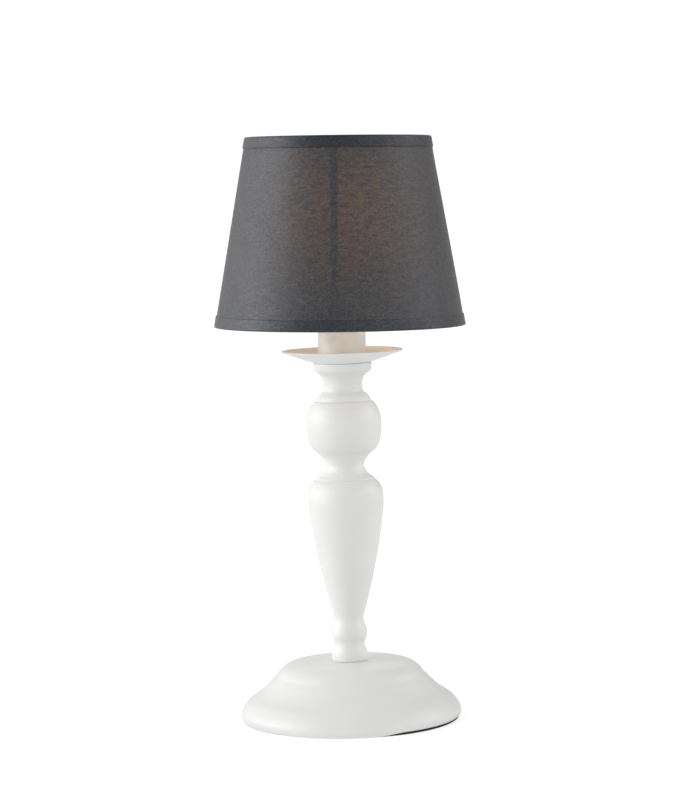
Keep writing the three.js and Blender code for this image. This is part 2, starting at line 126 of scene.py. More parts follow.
# ------------------------------------------------------------------ meshes
class Build:
    """Collects vertices (mm), faces, UVs and material numbers for one piece."""

    def __init__(self):
        self.v, self.f, self.uv, self.m = [], [], [], []

    def grid(self, pts, uvs, closed_u, closed_v, mat=0, mats=None, flip=False):
        """pts is [rows][columns][3], uvs [rows or rows+1][columns+1][2]. Rows run along the outline, columns round it."""
        rows, cols = pts.shape[0], pts.shape[1]
        base = len(self.v)
        self.v += pts.reshape(-1, 3).tolist()
        rmax = rows if closed_v else rows - 1
        cmax = cols if closed_u else cols - 1
        for j in range(rmax):
            j1 = (j + 1) % rows
            mm = mat if mats is None else mats[j]
            for i in range(cmax):
                i1 = (i + 1) % cols
                a, b, c, d = (
                    base + j * cols + i,
                    base + j * cols + i1,
                    base + j1 * cols + i1,
                    base + j1 * cols + i,
                )
                ua, ub, uc, ud = uvs[j][i], uvs[j][i + 1], uvs[j + 1][i + 1], uvs[j + 1][i]
                if flip:
                    self.f.append((a, d, c, b))
                    self.uv += [ua, ud, uc, ub]
                else:
                    self.f.append((a, b, c, d))
                    self.uv += [ua, ub, uc, ud]
                self.m.append(mm)

    def lathe(self, points, seg=96, mats=None, mat=0, shape=None, thetas=None, flat=None):
        """Turns an outline about Z. shape(theta, r, z) may change r and z; flat gives the UVs."""
        pts = [tuple(p[:2]) for p in points]
        area = sum(
            a[0] * b[1] - b[0] * a[1] for a, b in zip(pts, pts[1:] + pts[:1])
        )
        ring = pts[0][0] > 1e-6 or pts[-1][0] > 1e-6
        if area < 0:
            pts.reverse()
            if mats is not None:
                mats = list(mats)[::-1]
                if ring:  # the face after point j is then the one that was before it
                    mats = mats[1:] + mats[:1]
        th = (
            np.arange(seg) * TAU / seg
            if thetas is None
            else np.asarray(thetas, float)
        )
        full = thetas is None or abs(th[-1] - th[0] - TAU) > 1e-6
        cols = len(th)
        rr = np.array([p[0] for p in pts])[:, None] * np.ones(cols)
        zz = np.array([p[1] for p in pts])[:, None] * np.ones(cols)
        if shape is not None:
            rr, zz = shape(th[None, :], rr, zz)
        xyz = np.stack([rr * np.cos(th), rr * np.sin(th), zz], -1)
        ln = np.concatenate(
            [[0], np.cumsum(np.hypot(*np.diff(np.array(pts + pts[:1]), axis=0).T))]
        )
        tw = np.append(th, th[0] + TAU) if full else th
        rows = len(pts)
        if flat is None:
            uvs = [[(float(t / TAU), float(v * MM)) for t in tw] for v in ln]
        else:
            uvs = []
            for j in range(rows + 1):
                jj = j % rows
                uvs.append([flat(float(t), pts[jj][0], pts[jj][1]) for t in tw])
        axis0, axis1 = pts[0][0] < 1e-6, pts[-1][0] < 1e-6
        if ring and not (axis0 or axis1):
            self.grid(xyz, uvs, full, True, mat, mats)
            return self
        # ends on the axis: one vertex there, and triangles
        j0, j1 = (1 if axis0 else 0), (rows - 1 if axis1 else rows)
        base = len(self.v)
        self.grid(
            xyz[j0:j1], uvs[j0:j1], full, False, mat, None if mats is None else mats[j0:]
        )
        for end, on in ((0, axis0), (1, axis1)):
            if not on:
                continue
            p = xyz[0, 0] if end == 0 else xyz[-1, 0]
            self.v.append([0.0, 0.0, float(p[2])])
            c = len(self.v) - 1
            row = base if end == 0 else base + (j1 - j0 - 1) * cols
            jr = j0 if end == 0 else j1 - 1
            for i in range(cols):
                i2 = (i + 1) % cols
                a, b = row + i, row + i2
                ua, ub = uvs[jr][i], uvs[jr][i + 1]
                uc = ((ua[0] + ub[0]) / 2, uvs[0 if end == 0 else rows - 1][0][1])
                if end == 0:
                    self.f.append((c, b, a))
                    self.uv += [uc, ub, ua]
                else:
                    self.f.append((a, b, c))
                    self.uv += [ua, ub, uc]
                self.m.append(mat if mats is None else mats[min(jr, len(mats) - 1)])
        return self

    def tube(self, path, radius, sides=12, closed=False, mat=0, ends=True):
        """A round tube along points in mm, with rounded ends. radius may be a list."""
        p = np.array(path, float)
        n = len(p)
        rad = np.full(n, float(radius)) if np.isscalar(radius) else np.array(radius, float)
        if not closed and ends:
            d0, d1 = p[0] - p[1], p[-1] - p[-2]
            d0, d1 = d0 / np.linalg.norm(d0), d1 / np.linalg.norm(d1)
            caps = [(0.0, 1.0), (0.5, 0.866), (0.866, 0.5), (0.985, 0.17)]
            r0, r1 = rad[0], rad[-1]
            a = [p[0] + d0 * r0 * (s - 0.0) for s, _ in caps[::-1]]
            b = [p[-1] + d1 * r1 * s for s, _ in caps]
            p = np.vstack([a, p[1:-1], b])
            rad = np.concatenate(
                [[r0 * c for _, c in caps[::-1]], rad[1:-1], [r1 * c for _, c in caps]]
            )
            n = len(p)
        if closed:
            tan = np.roll(p, -1, 0) - np.roll(p, 1, 0)
        else:
            tan = np.gradient(p, axis=0)
        tan /= np.linalg.norm(tan, axis=1)[:, None]
        up = np.array([0.0, 0.0, 1.0])
        if abs(tan[0] @ up) > 0.9:
            up = np.array([1.0, 0.0, 0.0])
        nrm = [np.cross(tan[0], np.cross(up, tan[0]))]
        nrm[0] = nrm[0] / np.linalg.norm(nrm[0])
        for i in range(1, n):
            v = nrm[-1] - tan[i] * (nrm[-1] @ tan[i])
            nrm.append(v / np.linalg.norm(v))
        nrm = np.array(nrm)
        if closed:  # spread the twist over the loop
            bi = np.cross(tan[0], nrm[0])
            v = nrm[-1] - tan[0] * (nrm[-1] @ tan[0])
            off = math.atan2(v @ bi, v @ nrm[0])
            for i in range(n):
                a = -off * i / n
                b2 = np.cross(tan[i], nrm[i])
                nrm[i] = nrm[i] * math.cos(a) + b2 * math.sin(a)
        bin_ = np.cross(tan, nrm)
        ang = np.arange(sides) * TAU / sides
        pts = (
            p[:, None, :]
            + rad[:, None, None]
            * (
                np.cos(ang)[None, :, None] * nrm[:, None, :]
                + np.sin(ang)[None, :, None] * bin_[:, None, :]
            )
        )
        seglen = np.linalg.norm(np.diff(np.vstack([p, p[:1]]), axis=0), axis=1)
        ln = np.concatenate([[0], np.cumsum(seglen)])
        uvs = [
            [(i / sides, float(v * MM)) for i in range(sides + 1)] for v in ln
        ]
        base = len(self.v)
        self.grid(pts, uvs, True, closed, mat)
        if not closed:
            for row, rev in ((0, True), (n - 1, False)):
                loop = [base + row * sides + i for i in range(sides)]
                if rev:
                    loop.reverse()
                self.f.append(tuple(loop))
                self.uv += [(0.5, 0.0)] * sides
                self.m.append(mat)
        return self

    def object(self, name, body, materials, replaces=(), sharp=32, slot=None, at=None):
        mesh = bpy.data.meshes.new(name)
        v = np.array(self.v, float) * MM
        mesh.from_pydata(v.tolist(), [], self.f)
        uv = mesh.uv_layers.new(name="UVMap")
        uv.data.foreach_set("uv", np.array(self.uv, np.float32).ravel())
        mesh.polygons.foreach_set("material_index", np.array(self.m, np.int32))
        for m in materials:
            mesh.materials.append(m)
        mesh.validate(clean_customdata=False)
        mesh.shade_smooth()
        mesh.set_sharp_from_angle(angle=math.radians(sharp))
        mesh.update()
        ob = bpy.data.objects.new(name, mesh)
        scene.collection.objects.link(ob)
        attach(ob, body)
        if replaces:
            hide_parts(*replaces)
        return ob


# ------------------------------------------------------------------ materials
class Nodes:
    """A small helper for node trees: sockets or plain values go in, sockets come out."""

    def __init__(self, name):
        self.mat = bpy.data.materials.new(name)
        self.mat.use_nodes = True
        self.t = self.mat.node_tree
        self.t.nodes.clear()
        self.out = self.t.nodes.new("ShaderNodeOutputMaterial")

    def put(self, socket, value):
        if isinstance(value, bpy.types.NodeSocket):
            self.t.links.new(value, socket)
        elif value is not None:
            if socket.type == "RGBA" and len(value) == 3:
                value = (*value, 1.0)
            socket.default_value = value

    def node(self, kind, props=None, **inputs):
        n = self.t.nodes.new(kind)
        for k, v in (props or {}).items():
            setattr(n, k, v)
        for k, v in inputs.items():
            self.put(n.inputs[k.replace("_", " ")], v)
        return n

    def math(self, op, a, b=None, c=None, clamp=False):
        n = self.t.nodes.new("ShaderNodeMath")
        n.operation = op
        n.use_clamp = clamp
        for i, v in enumerate((a, b, c)):
            if v is not None:
                self.put(n.inputs[i], v)
        return n.outputs[0]

    def ramp(self, x, a, b, c=0.0, d=1.0, smooth=True):
        n = self.t.nodes.new("ShaderNodeMapRange")
        n.interpolation_type = "SMOOTHSTEP" if smooth else "LINEAR"
        self.put(n.inputs["Value"], x)
        for k, v in (("From Min", a), ("From Max", b), ("To Min", c), ("To Max", d)):
            self.put(n.inputs[k], v)
        return n.outputs[0]

    def mix(self, fac, a, b, blend="MIX"):
        n = self.t.nodes.new("ShaderNodeMix")
        n.data_type = "RGBA"
        n.blend_type = blend
        self.put(n.inputs[0], fac)
        self.put(n.inputs[6], a)
        self.put(n.inputs[7], b)
        return n.outputs[2]

    def noise(self, vector, scale=1.0, detail=2.0, rough=0.5, dims="3D", dist=0.0):
        n = self.t.nodes.new("ShaderNodeTexNoise")
        n.noise_dimensions = dims
        self.put(n.inputs["Vector"], vector)
        self.put(n.inputs["Scale"], scale)
        self.put(n.inputs["Detail"], detail)
        self.put(n.inputs["Roughness"], rough)
        self.put(n.inputs["Distortion"], dist)
        return n.outputs["Fac"]

    def xyz(self, x, y, z=0.0):
        n = self.t.nodes.new("ShaderNodeCombineXYZ")
        for i, v in enumerate((x, y, z)):
            self.put(n.inputs[i], v)
        return n.outputs[0]

    def split(self, v):
        n = self.t.nodes.new("ShaderNodeSeparateXYZ")
        self.put(n.inputs[0], v)
        return n.outputs

    def coords(self, kind="Object"):
        n = self.t.nodes.new("ShaderNodeTexCoord")
        return n.outputs[kind]

    def uv(self, name="UVMap"):
        n = self.t.nodes.new("ShaderNodeUVMap")
        n.uv_map = name
        return n.outputs[0]

    def bump(self, height, distance, strength=1.0, normal=None):
        n = self.t.nodes.new("ShaderNodeBump")
        self.put(n.inputs["Strength"], strength)
        self.put(n.inputs["Distance"], distance)
        self.put(n.inputs["Height"], height)
        if normal is not None:
            self.put(n.inputs["Normal"], normal)
        return n.outputs[0]

    def principled(self, color, rough=0.5, metallic=0.0, normal=None, **more):
        n = self.t.nodes.new("ShaderNodeBsdfPrincipled")
        self.put(n.inputs["Base Color"], color)
        self.put(n.inputs["Roughness"], rough)
        self.put(n.inputs["Metallic"], metallic)
        if normal is not None:
            self.put(n.inputs["Normal"], normal)
        for k, v in more.items():
            self.put(n.inputs[k.replace("_", " ")], v)
        return n.outputs[0]

    def blend(self, fac, a, b):
        n = self.t.nodes.new("ShaderNodeMixShader")
        self.put(n.inputs[0], fac)
        self.t.links.new(a, n.inputs[1])
        self.t.links.new(b, n.inputs[2])
        return n.outputs[0]

    def end(self, shader):
        self.t.links.new(shader, self.out.inputs["Surface"])
        return self.mat


def paint(name, color, rough=0.34, peel=1.0, coat=0.0, ior=1.5):
    """Sprayed paint: a fine orange peel, faint clouding and a few dust nibs."""
    k = Nodes(name)
    o = k.coords()
    cloud = k.noise(o, 38.0, 3.0, 0.55)
    fine = k.noise(o, 900.0, 2.0, 0.5)
    wave = k.noise(o, 210.0, 2.0, 0.5)
    nib = k.ramp(k.noise(o, 1500.0, 0.0), 0.80, 0.86)
    tone = k.math("ADD", k.ramp(cloud, 0.3, 0.7, 0.982, 1.0), k.math("MULTIPLY", nib, -0.03))
    col = k.mix(1.0, color, k.xyz(tone, tone, k.math("MULTIPLY", tone, 0.998)), "MULTIPLY")
    r = k.math("ADD", k.ramp(cloud, 0.3, 0.7, rough - 0.03, rough + 0.04), k.math("MULTIPLY", fine, 0.03))
    h = k.math("ADD", k.math("MULTIPLY", wave, 0.7), k.math("MULTIPLY", fine, 0.12))
    h = k.math("ADD", h, k.math("MULTIPLY", nib, 0.3))
    n = k.bump(h, 0.00006 * peel)
    return k.end(k.principled(col, r, 0.0, n, IOR=ior, Coat_Weight=coat, Coat_Roughness=0.2))


def plastic(name, color, rough=0.42, grain=1.0, sub=0.0, coat=0.0):
    """Moulded plastic: fine spark texture, a little flow clouding and scuffs."""
    k = Nodes(name)
    o = k.coords()
    spark = k.noise(o, 1400.0, 2.0, 0.6)
    flow = k.noise(o, 55.0, 2.0, 0.5, dist=0.6)
    scuff = k.ramp(k.noise(o, 260.0, 4.0, 0.7), 0.60, 0.72)
    tone = k.math("ADD", k.ramp(flow, 0.3, 0.7, 0.95, 1.05), k.math("MULTIPLY", scuff, 0.06))
    col = k.mix(1.0, color, k.xyz(tone, tone, tone), "MULTIPLY")
    r = k.math("ADD", k.ramp(flow, 0.3, 0.7, rough - 0.04, rough + 0.05), k.math("MULTIPLY", scuff, 0.08))
    return k.end(
        k.principled(
            col, r, 0.0, k.bump(spark, 0.00003 * grain), Subsurface_Weight=sub, Subsurface_Scale=0.002,
            Coat_Weight=coat, Coat_Roughness=0.2,
        )
    )


def metal(name, color, dark, rough=0.3, spots=0.5, brushed=True):
    """Plated or bare metal with fine turning lines, staining and small dull spots."""
    k = Nodes(name)
    o = k.coords()
    x, y, z = k.split(o)
    rad = k.math("SQRT", k.math("ADD", k.math("MULTIPLY", x, x), k.math("MULTIPLY", y, y)))
    lines = k.noise(k.xyz(k.math("MULTIPLY", rad, 4200.0), k.math("MULTIPLY", z, 4200.0), 0.0), 1.0, 2.0, 0.6)
    stain = k.noise(o, 120.0, 4.0, 0.6)
    pit = k.ramp(k.noise(o, 420.0, 3.0, 0.6), 0.58, 0.72)
    f = k.math("ADD", k.math("MULTIPLY", k.ramp(stain, 0.42, 0.66), 0.45), k.math("MULTIPLY", pit, spots * 0.5), clamp=True)
    col = k.mix(f, color, dark)
    r = k.math("ADD", k.math("MULTIPLY", f, 0.22), k.ramp(lines, 0.3, 0.7, rough - 0.05, rough + 0.08))
    h = k.math("ADD", k.math("MULTIPLY", lines, 0.6 if brushed else 0.1), k.math("MULTIPLY", pit, -0.4))
    return k.end(k.principled(col, r, 1.0, k.bump(h, 0.00003)))


white_paint = paint("white_paint", (0.80, 0.81, 0.795), 0.30)
# painted light: the drip pan has the stem's white paint, made lighter here to stand in for light that its shaded inside
# doesn't get
pan_paint_painted_light = paint("pan_paint_painted_light", (0.875, 0.89, 0.88), 0.30, 0.8)
wire_paint = paint("wire_paint", (0.78, 0.78, 0.765), 0.4, 1.6)
black_plastic = plastic("black_plastic", (0.022, 0.022, 0.024), 0.42)
sleeve_plastic = plastic("sleeve_plastic", (0.805, 0.835, 0.84), 0.3, 0.5, coat=1.0)
zinc = metal("zinc_plate", (0.62, 0.64, 0.66), (0.34, 0.34, 0.33), 0.3)
brass = metal("brass_strip", (0.78, 0.56, 0.25), (0.30, 0.19, 0.08), 0.26, 0.6)
bulb_alloy = metal("bulb_alloy", (0.78, 0.79, 0.80), (0.45, 0.45, 0.45), 0.22, 0.4)
tungsten = metal("tungsten_wire", (0.30, 0.28, 0.27), (0.12, 0.11, 0.10), 0.5, 0.6, False)


def casting():
    k = Nodes("cast_iron_rough")
    o = k.coords()
    sand = k.noise(o, 700.0, 4.0, 0.65)
    lump = k.noise(o, 90.0, 3.0, 0.6)
    rust = k.ramp(k.noise(o, 60.0, 5.0, 0.7), 0.56, 0.70)
    col = k.mix(k.math("MULTIPLY", rust, 0.7), k.mix(sand, (0.030, 0.030, 0.032), (0.075, 0.073, 0.072)), (0.11, 0.05, 0.025))
    h = k.math("ADD", k.math("MULTIPLY", sand, 0.6), lump)
    return k.end(k.principled(col, k.ramp(sand, 0.3, 0.7, 0.62, 0.85), 0.35, k.bump(h, 0.0003)))


def ceramic():
    k = Nodes("steatite")
    o = k.coords()
    grain = k.noise(o, 1100.0, 3.0, 0.6)
    speck = k.ramp(k.noise(o, 800.0, 0.0), 0.72, 0.8)
    col = k.mix(k.math("MULTIPLY", speck, 0.35), k.mix(grain, (0.72, 0.69, 0.62), (0.82, 0.80, 0.74)), (0.4, 0.36, 0.3))
    return k.end(k.principled(col, k.ramp(grain, 0.3, 0.7, 0.45, 0.62), 0.0, k.bump(grain, 0.00005)))


def foam():
    k = Nodes("pad_foam_cells")
    o = k.coords()
    v = k.node("ShaderNodeTexVoronoi", {"feature": "F1"}, Vector=o, Scale=2300.0)
    cell = v.outputs["Distance"]
    wide = k.noise(o, 70.0, 3.0, 0.6)
    col = k.mix(k.ramp(cell, 0.1, 0.7), (0.034, 0.026, 0.019), (0.011, 0.009, 0.007))
    col = k.mix(k.ramp(wide, 0.45, 0.7, 0.0, 0.35), col, (0.045, 0.043, 0.041))
    return k.end(k.principled(col, k.ramp(wide, 0.3, 0.7, 0.86, 0.97), 0.0, k.bump(cell, 0.00018, 0.8)))


def fused_glass():
    k = Nodes("fused_black_glass")
    o = k.coords()
    swirl = k.noise(o, 160.0, 4.0, 0.6, dist=1.5)
    col = k.mix(k.ramp(swirl, 0.4, 0.7), (0.008, 0.008, 0.010), (0.035, 0.035, 0.045))
    return k.end(k.principled(col, k.ramp(swirl, 0.3, 0.7, 0.08, 0.2), 0.0, k.bump(swirl, 0.0001)))


def mount_glass():
    k = Nodes("mount_glass_clear")
    o = k.coords()
    seed = k.noise(o, 500.0, 2.0, 0.5)
    col = k.mix(seed, (0.82, 0.88, 0.87), (0.92, 0.95, 0.94))
    return k.end(
        k.principled(col, k.ramp(seed, 0.3, 0.7, 0.04, 0.1), 0.0, k.bump(seed, 0.00004), Transmission_Weight=0.8, IOR=1.5)
    )


# ---- the shade's cloth: yarn by yarn, on the flat cut, where weft threads run straight
GLOW = dict(outer=0.077, outer_diffuse=0.0, inner=0.30, inner_diffuse=0.05, rough=1.0, ior=1.6)


def cloth(name, tint, pitch=0.00058, sheen=0.12, through=None, slub_amount=1.0, lift=1.0, gloss=0.8, grit=1.0, rough=0.34):
    """Plain weave with uneven yarns and slubs. through is how much light passes, forwards and diffusely."""
    k = Nodes(name)
    x, y, _ = k.split(k.uv())
    # hand of the cloth: the threads wander a little
    wob = k.noise(k.xyz(x, y), 55.0, 2.0, 0.5)
    yy = k.math("ADD", y, k.math("MULTIPLY", k.math("SUBTRACT", wob, 0.5), 0.0011))
    wob2 = k.noise(k.xyz(y, x, 3.0), 70.0, 2.0, 0.5)
    xx = k.math("ADD", x, k.math("MULTIPLY", k.math("SUBTRACT", wob2, 0.5), 0.0008))
    a, b = k.math("DIVIDE", xx, pitch), k.math("DIVIDE", yy, pitch * 1.12)
    ia, ib = k.math("FLOOR", a), k.math("FLOOR", b)
    # over and under
    across_a = k.math("ABSOLUTE", k.math("SINE", k.math("MULTIPLY", a, math.pi)))
    across_b = k.math("ABSOLUTE", k.math("SINE", k.math("MULTIPLY", b, math.pi)))
    par = k.math("MODULO", k.math("ABSOLUTE", k.math("ADD", ia, ib)), 2.0)
    warp_up = k.math("MULTIPLY", k.math("POWER", across_a, 0.7), k.math("ADD", 0.35, k.math("MULTIPLY", par, 0.65)))
    weft_up = k.math("MULTIPLY", k.math("POWER", across_b, 0.7), k.math("SUBTRACT", 1.0, k.math("MULTIPLY", par, 0.65)))
    yarn = k.math("MAXIMUM", warp_up, weft_up)
    # uneven yarns: each weft and warp thread has its own shade, which changes along it, and so does each float
    weft = k.noise(k.xyz(k.math("MULTIPLY", xx, 260.0), k.math("MULTIPLY", ib, 0.71), 1.7), 1.0, 2.0, 0.6)
    warp = k.noise(k.xyz(k.math("MULTIPLY", ia, 0.67), k.math("MULTIPLY", yy, 220.0), 9.1), 1.0, 2.0, 0.6)
    wn = k.node("ShaderNodeTexWhiteNoise", {"noise_dimensions": "3D"}, Vector=k.xyz(ia, ib, 5.0))
    cell = wn.outputs["Value"]
    grain = k.noise(k.xyz(x, y, 11.0), 1050.0, 2.0, 0.6)
    slub_n = k.noise(k.xyz(k.math("MULTIPLY", xx, 95.0), k.math("MULTIPLY", yy, 460.0), 4.0), 1.0, 1.0, 0.5)
    slub = k.ramp(slub_n, 0.60, 0.76)
    thin = k.ramp(slub_n, 0.42, 0.24)
    vslub = k.ramp(k.noise(k.xyz(k.math("MULTIPLY", xx, 430.0), k.math("MULTIPLY", yy, 36.0), 14.0), 1.0, 1.0, 0.5), 0.62, 0.76)
    patch = k.noise(k.xyz(x, y, 2.0), 26.0, 3.0, 0.6)
    tone = k.math("ADD", 0.38, k.math("MULTIPLY", yarn, 0.50))
    tone = k.math("ADD", tone, k.math("MULTIPLY", k.math("SUBTRACT", cell, 0.5), 1.0 * grit))
    tone = k.math("ADD", tone, k.math("MULTIPLY", k.math("SUBTRACT", grain, 0.5), 0.45 * grit))
    tone = k.math("ADD", tone, k.math("MULTIPLY", k.math("SUBTRACT", weft, 0.5), 0.20))
    tone = k.math("ADD", tone, k.math("MULTIPLY", k.math("SUBTRACT", warp, 0.5), 0.13))
    tone = k.math("ADD", tone, k.math("MULTIPLY", k.math("SUBTRACT", patch, 0.5), 0.05))
    tone = k.math("ADD", tone, k.math("MULTIPLY", slub, 0.04 * slub_amount))
    tone = k.math("SUBTRACT", tone, k.math("MULTIPLY", thin, 0.04 * slub_amount))
    tone = k.math("MAXIMUM", k.math("ADD", tone, k.math("MULTIPLY", vslub, 0.05)), 0.12)
    light = tuple(min(1.0, c * 1.0) for c in tint)
    warm = (tint[0] * 1.06, tint[1] * 1.0, tint[2] * 0.92)
    base = k.mix(k.ramp(warp, 0.35, 0.65), light, warm)
    col = k.mix(1.0, base, k.xyz(tone, tone, tone), "MULTIPLY")
    height = k.math("ADD", k.math("MULTIPLY", yarn, 0.9), k.math("MULTIPLY", slub, 0.3))
    height = k.math("ADD", height, k.math("MULTIPLY", vslub, 0.18))
    fuzz = k.noise(k.xyz(x, y, 7.0), 5200.0, 2.0, 0.6)
    height = k.math("ADD", height, k.math("MULTIPLY", fuzz, 0.25))
    height = k.math("ADD", height, k.math("MULTIPLY", grain, 0.4 * grit))
    nrm = k.bump(height, 0.00011 * lift)
    # the smooth yarns shine a little, and the hollows between them don't
    shine = k.math("MULTIPLY", tone, gloss / 0.75)
    body = k.principled(
        col, k.ramp(fuzz, 0.3, 0.7, rough, rough + 0.08), 0.0, nrm,
        Sheen_Weight=sheen, Sheen_Roughness=0.25, Sheen_Tint=(0.92, 0.95, 1.0), Specular_IOR_Level=shine,
        Specular_Tint=(0.93, 0.945, 1.0),
    )
    if through is None:
        return k.end(body)
    # light comes through between the yarns: more where they are thin and fair, less at a slub
    streak = k.noise(k.xyz(k.math("MULTIPLY", xx, 150.0), k.math("MULTIPLY", yy, 300.0), 21.0), 1.0, 2.0, 0.55)
    gap = k.math("ADD", 1.0, k.math("MULTIPLY", k.math("SUBTRACT", weft, 0.5), 2.2))
    gap = k.math("ADD", gap, k.math("MULTIPLY", k.math("SUBTRACT", 0.5, warp), 1.1))
    gap = k.math("ADD", gap, k.math("MULTIPLY", k.math("SUBTRACT", cell, 0.5), 0.25))
    gap = k.math("ADD", gap, k.math("MULTIPLY", k.math("SUBTRACT", grain, 0.5), 0.45))
    gap = k.math("ADD", gap, k.math("MULTIPLY", k.math("SUBTRACT", 0.5, streak), 2.0))
    gap = k.math("ADD", gap, k.math("MULTIPLY", thin, 0.4))
    gap = k.math("SUBTRACT", gap, k.math("MULTIPLY", slub, 0.5))
    gap = k.math("MULTIPLY", gap, k.math("SUBTRACT", 1.35, k.math("MULTIPLY", yarn, 0.45)))
    gap = k.math("MAXIMUM", gap, 0.12)
    forward, diffuse = through
    rf = k.node("ShaderNodeBsdfRefraction", Color=(1.0, 0.64, 0.13), Roughness=GLOW["rough"], IOR=GLOW["ior"]).outputs[0]
    mixed = body
    if diffuse > 0:
        tr = k.node("ShaderNodeBsdfTranslucent", Color=(0.80, 0.66, 0.50)).outputs[0]
        mixed = k.blend(k.math("MULTIPLY", gap, diffuse), body, tr)
    mixed = k.blend(k.math("MULTIPLY", gap, forward), mixed, rf)
    return k.end(mixed)


def liner(name, strip=True):
    """The white liner inside: smooth film, darker to light along its glued overlap."""
    k = Nodes(name)
    o = k.coords()
    x, y, z = k.split(o)
    cloud = k.noise(o, 30.0, 3.0, 0.5)
    fine = k.noise(o, 1300.0, 2.0, 0.5)
    col = k.mix(cloud, (0.84, 0.82, 0.77), (0.88, 0.865, 0.83))
    nrm = k.bump(k.math("ADD", k.math("MULTIPLY", cloud, 2.0), fine), 0.00005)
    body = k.principled(col, k.ramp(cloud, 0.3, 0.7, 0.42, 0.55), 0.0, nrm)
    # the overlap lies left of the front, 5.4 mm wide
    x = k.math("SUBTRACT", x, k.math("MULTIPLY_ADD", z, math.sin(math.radians(0.82)), -0.336 * math.sin(math.radians(0.82)) - 0.0008))
    ang = k.math("ARCTAN2", x, k.math("MULTIPLY", y, -1.0))
    rad = k.math("SQRT", k.math("ADD", k.math("MULTIPLY", x, x), k.math("MULTIPLY", y, y)))
    off = k.math("ABSOLUTE", k.math("MULTIPLY", k.math("SUBTRACT", ang, math.radians(STRIP_DEG)), rad))
    front = k.math("LESS_THAN", k.math("ABSOLUTE", ang), 1.2)
    shut = k.math("MULTIPLY", k.ramp(off, STRIP_W / 2 - 0.0002, STRIP_W / 2 + 0.0003, 1.0, 0.0), front)
    openness = k.math("SUBTRACT", 1.0, k.math("MULTIPLY", shut, 0.93))
    # the lowest quarter of the liner is denser
    openness = k.math("MULTIPLY", openness, k.ramp(z, 0.318, 0.362, 0.6, 1.0))
    tr = k.node("ShaderNodeBsdfTranslucent", Color=(0.9, 0.88, 0.84)).outputs[0]
    rf = k.node("ShaderNodeBsdfRefraction", Color=(1.0, 0.98, 0.95), Roughness=GLOW["rough"], IOR=GLOW["ior"]).outputs[0]
    mixed = k.blend(k.math("MULTIPLY", openness, GLOW["inner_diffuse"]), body, tr)
    mixed = k.blend(k.math("MULTIPLY", openness, GLOW["inner"]), mixed, rf)
    return k.end(mixed)


STRIP_DEG = -2.3
STRIP_W = 0.0054


def lit_glass():
    """Opal glass with the light on: brightest round the coil, which sits off the axis."""
    k = Nodes("opal_glass_lit")
    o = k.coords()
    x, y, z = k.split(o)
    mottle = k.noise(o, 90.0, 3.0, 0.55)
    up = k.math("DIVIDE", k.math("SUBTRACT", z, 0.422), 0.032)
    side = k.math("DIVIDE", k.math("SUBTRACT", x, 0.020), 0.020)
    r2 = k.math("ADD", k.math("MULTIPLY", up, up), k.math("MULTIPLY", side, side))
    hot = k.math("EXPONENT", k.math("MULTIPLY", r2, -0.7))
    even = k.ramp(x, -0.016, 0.016, 3.9, 1.1, smooth=False)
    power = k.math("MULTIPLY", k.math("ADD", even, k.math("MULTIPLY", hot, 27.5)), k.ramp(mottle, 0.3, 0.7, 0.95, 1.05))
    # looked at directly, the glass keeps its shape and colour instead of burning out
    direct = k.t.nodes.new("ShaderNodeLightPath").outputs["Is Camera Ray"]
    seen = k.math("ADD", 0.36, k.math("MULTIPLY", hot, 0.5))
    power = k.math("ADD", power, k.math("MULTIPLY", direct, k.math("SUBTRACT", seen, power)))
    col = k.mix(hot, (1.0, 0.56, 0.27), (1.0, 0.64, 0.36))
    return k.end(
        k.principled((0.60, 0.55, 0.47), k.ramp(mottle, 0.3, 0.7, 0.24, 0.34), 0.0, k.bump(mottle, 0.00003),
                     Emission_Color=col, Emission_Strength=power)
    )


shade_cloth = cloth("shade_cloth", (0.002, 0.009, 0.017), gloss=0.89, sheen=0.14, lift=0.8, grit=0.6, rough=0.3, through=(GLOW["outer"], GLOW["outer_diffuse"]))
trim_cloth = cloth("trim_cloth", (0.001, 0.007, 0.016), sheen=0.12, slub_amount=0.6, lift=0.5, gloss=0.71, grit=0.5, rough=0.285)
# the top trim is a shaded copy of the trim cloth: less gloss, sheen and blue make it read darker, which is painted
# shade
trim_cloth_top_shaded = cloth("trim_cloth_top_shaded", (0.001, 0.007, 0.015), sheen=0.11, slub_amount=0.6, lift=0.5, gloss=0.64, grit=0.5, rough=0.285)
shade_liner = liner("shade_liner")
opal = lit_glass()
iron, steatite, pad_foam, bead_glass, clear_glass = casting(), ceramic(), foam(), fused_glass(), mount_glass()


# ------------------------------------------------------------------ base
base_out = [
    (79.0, 2.1, 1), (84.9, 2.1, 1), (85.3, 1.0), (86.6, 1.3), (87.6, 2.9), (88.0, 5.2), (87.6, 7.6), (86.5, 10.3),
    (84.0, 13.9), (81.0, 17.1), (78.0, 19.2), (74.5, 21.5), (71.0, 24.1), (68.0, 26.8), (65.0, 29.9), (62.4, 32.6),
    (60.4, 34.5), (59.25, 35.7), (58.35, 36.95), (57.6, 38.1), (56.8, 39.3), (55.6, 40.5), (54.2, 41.7), (51.7, 43.5), (48.0, 45.1), (43.0, 46.0), (34.0, 46.5),
    (20.0, 46.6), (6.2, 46.6), (5.4, 46.0, 1), (5.4, 45.1, 1), (20.0, 45.1), (40.0, 44.8), (47.2, 43.8), (53.0, 40.9),
    (57.5, 35.2), (66.9, 25.9), (73.6, 20.4), (80.2, 15.7), (85.4, 9.0), (86.5, 5.3), (84.8, 3.3, 1), (79.0, 3.3, 1),
    (79.0, 2.1, 1),
]


